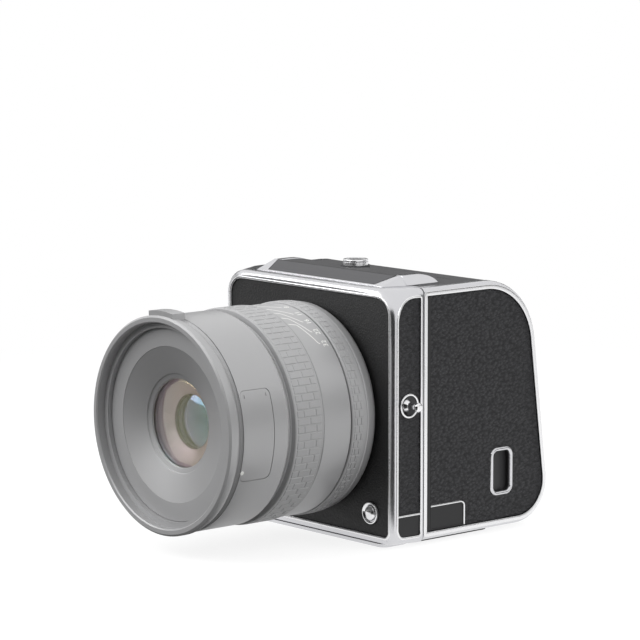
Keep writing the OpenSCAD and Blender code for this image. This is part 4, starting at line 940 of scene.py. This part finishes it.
def strap_lugs():
    middle = centre_of("strap_lugs")
    reach = box_mm("strap_lugs")[1].x - HALF_W
    ring_r, bore_r, sunk = 4.3, 3.55, 1.6
    dish_r, dish_back = bore_r - 0.01, 0.05 - sunk
    rings, dishes, studs = [], [], []
    for side in (-1, 1):
        foot = Vector((side * HALF_W, middle.y, middle.z))
        axis = RIGHT * side
        rings.append(turned([(bore_r, -0.5), (bore_r + 0.05, 0.2, 0.12), (ring_r, 0.25, 0.3),
                             (ring_r, -sunk), (bore_r, -sunk)], foot, axis))
        dishes.append(turned([(0, dish_back), (dish_r, dish_back), (dish_r, -0.35, 0.1), (2.0, -1.05, 0.4),
                              (0, -1.1)], foot, axis))
        studs.append(turned([(0, reach), (1.1, reach, 0.5), (1.75, reach - 0.75, 0.5),
                             (1.5, reach - 1.5, 0.3), (1.05, reach - 1.8, 0.4), (1.1, 0.2, 0.9),
                             (2.2, -1.0), (0, -1.08)], foot, axis))
    piece("lug_rings", joined(*rings), "bright_chrome", "body", ("strap_lugs",))
    # The cups take the near-black chrome: painted shade inside them.
    piece("lug_dishes", joined(*dishes), "chrome_painted_shade", "body")
    piece("lug_studs", joined(*studs), "bright_chrome", "body")


def front_controls():
    centre = centre_of("release_bezel")
    foot = Vector((centre.x, LIP_Y, centre.z))
    ring_r, button_r = radius_of("release_bezel"), radius_of("release_button")
    front = forward_span("release_bezel")[1]
    rear, proud = forward_span("release_button")
    bore_r = button_r + 0.12
    piece("release_ring", turned([(bore_r, rear / 2), (bore_r, 0.0, 0.1),
                                  (ring_r - 0.5, front, 0.15), (ring_r - 0.1, front, 0.2),
                                  (ring_r, 0.0, 0.2), (ring_r, rear / 2)], foot, FORWARD),
          "bright_chrome", "body", ("release_bezel",))
    piece("release_cap", turned([(0, proud), (button_r * 0.55, proud - 0.1, 0.6),
                                 (button_r - 0.1, proud - 0.55, 0.3), (button_r, -0.2, 0.2),
                                 (button_r, rear), (0, rear)], foot, FORWARD),
          "bright_chrome", "release_button", ("release_button",))
    smooth_copy("control_dial", "dark_metal", 25)
    centre = centre_of("shutter_button")
    foot = Vector((centre.x, LIP_Y, centre.z))
    cap_r = radius_of("shutter_button")
    rear, cap = forward_span("shutter_button")
    piece("shutter_cap", turned([(0, cap - 0.35), (cap_r * 0.6, cap - 0.2, 0.5),
                                 (cap_r - 0.1, cap - 0.55, 0.3), (cap_r, cap - 1.1, 0.2),
                                 (cap_r, rear), (0, rear)], foot, FORWARD),
          "bright_chrome", "shutter_button", ("shutter_button",))


# Top of the camera

# How the edges of the small chrome blocks are rounded and their shading blended
SMALL_BLEND = {"bevel": 0.7, "sharp": 50, "reach": 0.8, "rounds": 6}


def top_pieces():
    blended_copy("top_wedge", "satin_chrome", **SMALL_BLEND)
    bevelled_copy("name_plate", "plate_metal", width=0.12)
    facing = main_normal("name_plate")
    edge = grown(outer_loop("name_plate", facing), facing, -0.1)
    # Painted shadow: a black line along the plate's edge stands in for the shade in the gap round the plate.
    piece("plate_shadow_line", swept(edge, facing, half_width=0.24, height=0.06), "label_black", "body")
    bevelled_copy("hump_cover", "dark_metal")
    blended_copy("hump_fins", "satin_chrome", **SMALL_BLEND)
    collar_low, collar_high = (corner.z for corner in box_mm("knob_collar"))
    bottom, top = (corner.z for corner in box_mm("release_knob"))
    knob_r, collar_r = radius_of("release_knob"), radius_of("knob_collar")
    middle = centre_of("release_knob")
    foot = Vector((middle.x, middle.y, 0))
    bore_r = knob_r + SEAT
    piece("knob_base", turned([(bore_r, collar_low), (collar_r, collar_low), (collar_r, collar_high, 0.15),
                               (bore_r, collar_high, 0.05)], foot, UP),
          "dark_metal", "body", ("knob_collar",))
    piece("knob_top", turned([(0, top - 0.1), (knob_r - 1.1, top - 0.1, 0.2), (knob_r - 0.9, top, 0.15),
                              (knob_r, top, 0.45), (knob_r, top - 0.8, 0.06), (knob_r - 0.22, top - 0.9),
                              (knob_r, top - 1.0, 0.06), (knob_r, bottom), (0, bottom)], foot, UP),
          "lip_chrome", "release_knob", ("release_knob",))


# Digital back

def back_body():
    line_inside(smooth_copy("back_shell", "satin_chrome"), "black_plastic")
    smooth_copy("wrap_skin", "dark_metal")
    bevelled_copy("left_skin", "leatherette", width=0.12)
    rim = box_mm("left_skin")[0].y - SEAT - SEAM_Y
    for side, label, loop in side_fields("left_skin", SEAT + rim / 2, "back_shell"):
        piece(f"back_lip_{label}", swept(loop, RIGHT * side, rim / 2 - 0.03, look().bead_height / MM * 0.8,
                                         sides=24, power=0.6), "lip_chrome", "body")
    bevelled_copy("port_cover", "black_plastic", width=0.3)
    dress("steel", "usb_socket", "port_hinge_pin", "screen_hinge_pin", "door_hinge_pin")


def side_door():
    bevelled_copy("side_door", "black_plastic")
    dress("leatherette", "door_skin")
    bevelled_copy("door_label", "label_black", width=0.1)
    low, high = box_mm("door_label")
    bend, bend_steps = 1.9, 8
    turn = Vector((high.x, high.y - bend, high.z - bend))
    edge = [Vector((high.x, low.y + 0.2, high.z))]
    for k in range(bend_steps + 1):
        t = math.pi / 2 * (1 - k / bend_steps)
        edge.append(turn + Vector((0, math.cos(t), math.sin(t))) * bend)
    edge.append(Vector((high.x, high.y, low.z + 0.2)))
    piece("door_label_line", swept(edge, RIGHT, half_width=0.3, height=0.16, closed=False),
          "bright_chrome", "side_door")
    rim_low, rim_high = box_mm("latch_bezel")
    rim = grown(outer_loop("latch_bezel", RIGHT), RIGHT, -0.62)
    half_depth = (rim_high.x - rim_low.x) / 2
    ring = [Vector((rim_high.x - half_depth, p.y, p.z)) for p in rim]
    piece("latch_rim", swept(ring, RIGHT, half_width=0.78, height=half_depth + 0.15, sides=20),
          "satin_chrome", "side_door", ("latch_bezel",))
    bevelled_copy("door_latch", "black_plastic", width=0.2)


def rear_pieces():
    bevelled_copy("screen_frame", "black_plastic", width=0.3)
    bevelled_copy("screen_glass", "screen_black")
    for i in range(1, 6):
        bevelled_copy(f"rear_button_{i}", "black_plastic", width=0.35, sharp=40, segments=3)


def base_pieces():
    bevelled_copy("base_plate", "satin_chrome", width=0.2)
    bevelled_copy("foot_plate", "dark_metal", width=0.2)
    dress("steel", "tripod_bush", "base_screws")
    level = box_mm("base_screws")[0].z + 0.25
    points = [Vector((c.x, c.y, level)) for c in island_centres("base_screws")]
    mesh = grown_mesh(screw_heads(), {"Radius": 1.65 * MM, "Height": 0.5 * MM, "Slot": 0.5 * MM,
                                      "Facing": (math.pi, 0, 0), "Finish": finish("steel")}, points)
    place_piece("base_screw_heads", mesh, "steel", "body")


def island_centres(node):
    """Centre of each separate solid in a CAD node."""
    bm = merged(node)
    left = set(bm.verts)
    centres = []
    while left:
        stack = [left.pop()]
        island = []
        while stack:
            vert = stack.pop()
            island.append(vert.co.copy())
            for edge in vert.link_edges:
                other = edge.other_vert(vert)
                if other in left:
                    left.remove(other)
                    stack.append(other)
        low = Vector(map(min, zip(*island)))
        high = Vector(map(max, zip(*island)))
        centres.append((low + high) / 2)
    bm.free()
    return centres


# Lens

def lens_barrels():
    a0, a1 = forward_span("rear_barrel")
    piece("rear_barrel_turned", lens_turned([
        (SLEEVE_R + SEAT, a0), (BARREL_R - 0.9, a0, 0.2), (BARREL_R - 0.2, a0 + 1.2, 0.5),
        (BARREL_R, a1 - 0.5, 0.3), (BARREL_R - 0.2, a1, 0.1), (SLEEVE_R + SEAT, a1)]),
        "lens_satin", "lens", ("rear_barrel",))
    a0, a1 = forward_span("scale_ring")
    piece("scale_ring_turned", lens_turned([
        (SLEEVE_R + SEAT, a0), (BARREL_R - 0.25, a0, 0.1), (BARREL_R, a0 + 0.4, 0.2),
        (BARREL_R, a1 - 0.4, 0.2), (BARREL_R - 0.25, a1, 0.1), (SLEEVE_R + SEAT, a1)]),
        "lens_satin", "lens", ("scale_ring",))
    # Painted light on the sleeve and slider inside the groove: lighter than the lens grey, against the
    # groove's shade.
    dress("lens_groove_painted_light", "lens_sleeve", "focus_slider")
    dress("steel", "lens_bayonet")
    smooth_copy("front_barrel", "lens_satin", 28)
    bevelled_copy("lens_inlay", "lens_satin", width=0.12)


def knurled_ring(node, rim_rear, rim_front):
    """Ring with a smooth rim at each end and the brick knurl between."""
    a0, a1 = forward_span(node)
    height = look().knurl_height / MM
    floor = RING_R - height
    bore = (box_mm("focus_slider")[1].x if node == "focus_ring" else SLEEVE_R) + 0.05
    crest, lead, sunk = RING_R - 0.1, 0.35, 0.1
    start, end = a0 + rim_rear + 0.15, a1 - rim_front - 0.15
    piece(node + "_turned", lens_turned([
        (bore, a0), (crest - 0.3, a0, 0.15), (crest, a0 + lead, 0.2), (crest, a0 + rim_rear, 0.1),
        (floor, start, 0.05), (floor, end, 0.05), (crest, a1 - rim_front, 0.1), (crest, a1 - lead, 0.2),
        (crest - 0.3, a1, 0.15), (bore, a1)]), "lens_knurl", node, (node,))
    mesh = grown_mesh(brick_knurl(), {
        "Radius": RING_R * MM, "Length": (end - start) * MM, "Height": (height + sunk) * MM,
        "Gap": look().knurl_gap, "Rows": look().knurl_rows, "Start": (LIP_Y - start) * MM,
        "Axis Height": LENS_Z * MM, "Taper": 0.86, "Finish": finish("lens_knurl")})
    place_piece(node + "_knurl", mesh, "lens_knurl", node)


def lens_rings():
    knurled_ring("focus_ring", rim_rear=0.7, rim_front=0.7)
    knurled_ring("control_ring", rim_rear=1.9, rim_front=0.6)


def cap_profile(radius, base, rise, steps):
    """Profile of a shallow dome, from its pole to its edge."""
    return [(radius * k / steps, base + rise * (1 - (k / steps) ** 2)) for k in range(steps + 1)]


def lens_front():
    a0, a1 = forward_span("front_cone")
    outer_r = box_mm("front_cone")[1].x
    flat_r, flat_t = 27.0, 0.9
    skirt_r, skirt_l = 30.8, 3.4
    piece("front_flat_ring", lens_turned([
        (flat_r, a1, 0.1), (outer_r, a1, 0.15), (outer_r, a1 - skirt_l), (skirt_r, a1 - skirt_l),
        (skirt_r, a1 - flat_t), (flat_r, a1 - flat_t)]), "lens_satin", "lens", ("front_cone",))
    cone_r, back_r, seat_r = flat_r - 0.02, skirt_r - 0.1, 17.55
    piece("front_cone_turned", lens_turned([
        (cone_r, a1 - 0.12), (17.4, a1 - 3.05, 0.2), (17.2, a1 - 3.5, 0.1), (15.6, a1 - 3.9, 0.2),
        (15.4, a1 - 4.55), (seat_r, a1 - 4.6), (seat_r, a0), (back_r, a0), (back_r, a1 - 1.0),
        (cone_r, a1 - 1.0)]), "lens_inner", "lens")
    glass_r, glass_t = seat_r - 0.05, 2.2
    edge = a1 - 4.7
    back = edge - glass_t
    dome = cap_profile(15.2, edge, 2.4, 20)
    hollow = cap_profile(14.8, back, glass_t, 20)
    piece("front_glass", lens_turned(dome + [(glass_r, edge), (glass_r, back)] + hollow[::-1]),
          "coated_glass", "lens", ("front_element",))
    rear = forward_span("front_element")[0]
    floor = rear + 0.4
    second_r, cell_r = 9.2, glass_r - 0.1
    hole_r = second_r + 0.1
    piece("glass_cell", lens_turned([(15.0, back - 0.1), (hole_r, floor + 1.2, 0.3), (hole_r, floor),
                                     (cell_r, floor), (cell_r, back - 0.1)]), "inner_cell", "lens")
    # The second element's green is a painted reflection.
    bulge = cap_profile(second_r, floor + 0.3, 1.9, 16)
    piece("second_glass", lens_turned(bulge + [(second_r, rear + 0.1), (0, rear + 0.1)]),
          "inner_glass", "lens")


# White marks on the lens: plain numbers at their degrees from the top, with a bracket each, and a dot
NUMBERS = (("8", 9.5), ("11", 19.5), ("16", 28.0), ("22", 36.5), ("32", 45.0))
NUMBER_SIZE = 2.9
BRACKET_STEPS = 6
DOT_DEGREES, DOT_ALONG = 109, 59.7


def number_bm(text, theta, along):
    """A number bent onto the scale ring, read from behind the camera."""
    curve = bpy.data.curves.new("number", "FONT")
    curve.body = text
    curve.size = NUMBER_SIZE
    curve.align_x = "CENTER"
    curve.align_y = "CENTER"
    curve.extrude = 0.03
    curve.resolution_u = 3
    mesh = taken_mesh(add_object("number", curve))
    bpy.data.curves.remove(curve)
    bm = bmesh.new()
    bm.from_mesh(mesh)
    bpy.data.meshes.remove(mesh)
    bmesh.ops.remove_doubles(bm, verts=bm.verts, dist=1e-4)
    for vert in bm.verts:
        x, y, z = vert.co
        vert.co = on_barrel(theta - math.degrees(x / BARREL_R), along + y, BARREL_R + z)
    return bm


def bracket_bm(stops):
    """Thin painted line through (degrees, distance) stops on the scale ring."""
    path, outs = [], []
    for (t0, s0), (t1, s1) in zip(stops, stops[1:]):
        for k in range(BRACKET_STEPS):
            share = k / BRACKET_STEPS
            theta = t0 + (t1 - t0) * share
            path.append(on_barrel(theta, s0 + (s1 - s0) * share, BARREL_R))
            outs.append(on_barrel(theta, 0, 1) - on_barrel(theta, 0, 0))
    path.append(on_barrel(*stops[-1], BARREL_R))
    outs.append(on_barrel(stops[-1][0], 0, 1) - on_barrel(stops[-1][0], 0, 0))
    return swept(path, outs, half_width=0.16, height=0.04, closed=False, sides=6)


def lens_marks():
    a0, a1 = forward_span("scale_ring")
    parts = []
    for side in (-1, 1):
        for i, (text, theta) in enumerate(NUMBERS):
            parts.append(number_bm(text, side * theta, a0 + 2.5))
            start = theta - 8 - 2.2 * i
            parts.append(bracket_bm([(side * start, a1 - 0.8), (side * (start + 1.5), a1 - 1.8 - 0.5 * i),
                                     (side * (theta - 1.0), a0 + 5.4), (side * theta, a0 + 4.7)]))
    piece("scale_marks", joined(*parts), "mark_white", "lens", sharp=25)
    spot = on_barrel(DOT_DEGREES, DOT_ALONG, BARREL_R)
    outward = (spot - on_barrel(0, DOT_ALONG, 0)).normalized()
    piece("index_dot", turned([(0, 0.06), (0.75, 0.05, 0.04), (0.75, -0.3), (0, -0.3)], spot, outward, 32),
          "mark_white", "lens")
    low, high = box_mm("lens_inlay")
    corner_z = high.z - 1.9
    theta = math.degrees(math.acos((corner_z - LENS_Z) / BARREL_R))
    points = [on_barrel(theta, LIP_Y - y, BARREL_R - 0.08) for y in (low.y + 1.7, high.y - 1.7)]
    mesh = grown_mesh(screw_heads(), {"Radius": 0.6 * MM, "Height": 0.22 * MM, "Slot": 0.2 * MM,
                                      "Facing": (0, math.radians(theta), 0), "Finish": finish("lens_satin")},
                      points)
    place_piece("inlay_screws", mesh, "lens_satin", "lens")


def inside_pieces():
    dress("sensor_stack", "sensor")
    dress("dark_metal", "sensor_carrier", "shutter_unit", "focus_group")
    dress("board_green", "main_board")
    dress("card_blue", "memory_cards")
    dress("black_plastic", "battery")
    dress("steel", "guide_rods")
    dress("coated_glass", "rear_element")


# Studio

CAMERA_PLACE = Vector((0.8303, -0.7500, 0.2294))
CAMERA_AZIMUTH = math.radians(48.872)
CAMERA_ELEVATION = math.radians(7.942)
CAMERA_ROLL = math.radians(-0.06)
CAMERA_LENS, CAMERA_SENSOR = 176.1, 36
CAMERA_SHIFT = (-0.0073, -0.0005)


def add_camera():
    data = bpy.data.cameras.new("photo_camera")
    data.lens = CAMERA_LENS
    data.sensor_width = CAMERA_SENSOR
    data.shift_x, data.shift_y = CAMERA_SHIFT
    across = Vector((math.cos(CAMERA_AZIMUTH), math.sin(CAMERA_AZIMUTH), 0))
    back = Vector((math.sin(CAMERA_AZIMUTH) * math.cos(CAMERA_ELEVATION),
                   -math.cos(CAMERA_AZIMUTH) * math.cos(CAMERA_ELEVATION), math.sin(CAMERA_ELEVATION)))
    turn = Matrix((across, back.cross(across), back)).transposed()
    rolled = turn @ Matrix.Rotation(CAMERA_ROLL, 3, "Z")
    item = add_object("photo_camera", data)
    item.matrix_world = Matrix.Translation(CAMERA_PLACE) @ rolled.to_4x4()
    bpy.context.scene.camera = item


# Floor: gap under the feet, where its shadow fades out, its tone and its glow near the camera
FLOOR_GAP = 0.2 * MM
SHADOW_NEAR, SHADOW_FAR = 0.15, 0.45
FLOOR_TONE = 0.26
FLOOR_GLOW = 0.82


def white_rays(tree):
    """One for rays that the camera, a gloss or a glass sends, and nought for the rest."""
    rays = add_node(tree, "ShaderNodeLightPath")
    seen = add_math(tree, "ADD", rays.outputs["Is Camera Ray"], rays.outputs["Is Glossy Ray"])
    return add_math(tree, "ADD", seen, rays.outputs["Is Transmission Ray"], clamp=True)


def add_world(level):
    """White to the eye and in reflections; lights the camera at this level."""
    world = bpy.data.worlds.new("studio")
    world.use_nodes = True
    tree = world.node_tree
    shade = tree.nodes["Background"]
    strength = add_node(tree, "ShaderNodeMix", {0: white_rays(tree), 2: level, 3: 1.0})
    tree.links.new(strength.outputs[0], shade.inputs["Strength"])
    shade.inputs["Color"].default_value = (1, 1, 1, 1)
    bpy.context.scene.world = world


def add_floor():
    """Floor that looks white and keeps the camera's shadow near it."""
    material = bpy.data.materials.new("pale_floor")
    material.use_nodes = True
    tree = material.node_tree
    tree.nodes.remove(tree.nodes["Principled BSDF"])
    place = add_node(tree, "ShaderNodeTexCoord")
    reach = add_node(tree, "ShaderNodeVectorMath", {0: place.outputs["Object"]}, operation="LENGTH")
    far = add_node(tree, "ShaderNodeMapRange", {"Value": reach.outputs["Value"], "From Min": SHADOW_NEAR,
                                                "From Max": SHADOW_FAR}, interpolation_type="SMOOTHSTEP")
    tint = add_node(tree, "ShaderNodeMix", {0: far.outputs[0], 6: (FLOOR_TONE,) * 3 + (1,),
                                            7: (0, 0, 0, 1)}, data_type="RGBA")
    matt = add_node(tree, "ShaderNodeBsdfDiffuse", {"Color": tint.outputs[2]})
    level = add_node(tree, "ShaderNodeMix", {0: far.outputs[0], 2: FLOOR_GLOW, 3: 1.0})
    glow = add_node(tree, "ShaderNodeEmission", {
        "Color": (1, 1, 1, 1), "Strength": add_math(tree, "MULTIPLY", white_rays(tree), level.outputs[0])})
    both = add_node(tree, "ShaderNodeAddShader", {0: matt.outputs[0], 1: glow.outputs[0]})
    tree.links.new(both.outputs[0], tree.nodes["Material Output"].inputs["Surface"])
    bm = bmesh.new()
    bmesh.ops.create_grid(bm, x_segments=1, y_segments=1, size=6)
    mesh = mesh_from(bm, "floor")
    mesh.materials.append(material)
    floor = add_object("floor", mesh)
    floor.location.z = -FLOOR_GAP


# Dark cards: half width in degrees, then radius, lower and upper edge in metres
FAR_CARD = (23, 2.2, -0.3, 0.85)
FAR_CARD_PLACES = (137, 227, 317)
NEAR_CARD = (55, 0.3, 0.001, 0.2)
NEAR_CARD_PLACE = -3
NEAR_STRIP = 0.27


def flag_wall(bm, middle, half, radius, low, high, steps=10):
    """Curved upright card round the object; angles in degrees from the front towards the right."""
    rows = []
    for i in range(steps + 1):
        angle = math.radians(middle - half + 2 * half * i / steps)
        across = Vector((math.sin(angle), -math.cos(angle), 0)) * radius
        rows.append([bm.verts.new(across + UP * z) for z in (low, high)])
    for (a, b), (c, d) in zip(rows, rows[1:]):
        bm.faces.new((a, c, d, b))
    return rows


def add_flags():
    """Dark studio cards that only reflections see, so that metal has something to show. The near
    one goes on along the floor, in to a share of its radius."""
    material = bpy.data.materials.new("dark_card")
    material.use_nodes = True
    shader = material.node_tree.nodes["Principled BSDF"]
    shader.inputs["Base Color"].default_value = (0.02, 0.02, 0.02, 1)
    shader.inputs["Roughness"].default_value = 1.0
    bm = bmesh.new()
    for place in FAR_CARD_PLACES:
        flag_wall(bm, place, *FAR_CARD)
    near = flag_wall(bm, NEAR_CARD_PLACE, *NEAR_CARD)
    inner = [bm.verts.new((v.co.x * NEAR_STRIP, v.co.y * NEAR_STRIP, v.co.z)) for v, _ in near]
    for i in range(len(inner) - 1):
        bm.faces.new((inner[i], inner[i + 1], near[i + 1][0], near[i][0]))
    mesh = mesh_from(bm, "dark_cards")
    mesh.materials.append(material)
    cards = add_object("dark_cards", mesh)
    cards.visible_camera = False
    cards.visible_diffuse = False
    cards.visible_transmission = False
    cards.visible_shadow = False


def add_lamp(name, place, aim, size, power):
    data = bpy.data.lights.new(name, "AREA")
    data.shape = "RECTANGLE"
    data.size, data.size_y = size
    data.energy = power * look().light_level
    item = add_object(name, data)
    item.location = place
    item.rotation_euler = (Vector(aim) - Vector(place)).to_track_quat("-Z", "Y").to_euler()
    return item


def stage():
    add_camera()
    add_world(level=0.25)
    add_floor()
    add_flags()
    top = add_lamp("overhead", (-0.1, 0.05, 1.3), aim=(0, -0.02, 0.05), size=(2.4, 2.4), power=15)
    add_lamp("front_left", (-0.6, -1.1, 0.8), aim=(0, -0.05, 0.05), size=(1.6, 1.0), power=20)
    side = add_lamp("right_side", (1.4, 0.4, 0.8), aim=(0, 0, 0.05), size=(1.6, 1.6), power=18)
    # Polished metal already shows the white surroundings behind these two
    for lamp in (top, side):
        lamp.visible_glossy = False
    bpy.context.scene.view_settings.view_transform = "Standard"


# Operators and panel

def step(label, idname, build, summary):
    """Operator class that runs one build step."""
    def execute(self, context):
        build()
        return {"FINISHED"}
    return type("CAMERA_LOOK_OT_" + idname, (bpy.types.Operator,), {
        "__doc__": summary, "bl_idname": "camera_look." + idname, "bl_label": label, "execute": execute})


STEPS = (
    step("Front body", "front_body", front_body, "Chrome front frame, face plate, skins and strap lugs"),
    step("Front controls", "front_controls", front_controls, "Lens release, control dial and shutter button"),
    step("Top", "top_pieces", top_pieces, "Sloped block, bare plate, hump, fins and release knob"),
    step("Digital back", "back_body", back_body, "Chrome shell with its skins and polished lips"),
    step("Side door", "side_door", side_door, "Leather door with its latch"),
    step("Rear", "rear_pieces", rear_pieces, "Tilting screen and buttons"),
    step("Base", "base_pieces", base_pieces, "Foot plates, screws and tripod bush"),
    step("Lens barrels", "lens_barrels", lens_barrels, "Smooth satin barrels of the lens"),
    step("Lens rings", "lens_rings", lens_rings, "Knurled focus and control rings"),
    step("Lens front", "lens_front", lens_front, "Front cone and coated glass"),
    step("Lens marks", "lens_marks", lens_marks, "White numbers, brackets and index dot"),
    step("Inside", "inside_pieces", inside_pieces, "Finishes of the hidden pieces"),
    step("Stage", "stage", stage, "Camera, floor, lamps and white surroundings"),
)


class CAMERA_LOOK_PT_steps(bpy.types.Panel):
    """Lists the steps that finish the camera"""
    bl_idname = "CAMERA_LOOK_PT_steps"
    bl_label = "Camera"
    bl_space_type = "VIEW_3D"
    bl_region_type = "UI"
    bl_category = "Camera"

    def draw(self, context):
        for name in CameraFinish.__annotations__:
            self.layout.prop(context.scene.camera_finish, name)
        for item in STEPS:
            self.layout.operator(item.bl_idname)


CLASSES = (CameraFinish, *STEPS, CAMERA_LOOK_PT_steps)


def register():
    for item in CLASSES:
        bpy.utils.register_class(item)
    bpy.types.Scene.camera_finish = bpy.props.PointerProperty(type=CameraFinish)


def unregister():
    del bpy.types.Scene.camera_finish
    for item in reversed(CLASSES):
        bpy.utils.unregister_class(item)


def main():
    register()
    for item in STEPS:
        group, name = item.bl_idname.split(".")
        getattr(getattr(bpy.ops, group), name)()


if __name__ == "__main__":
    main()
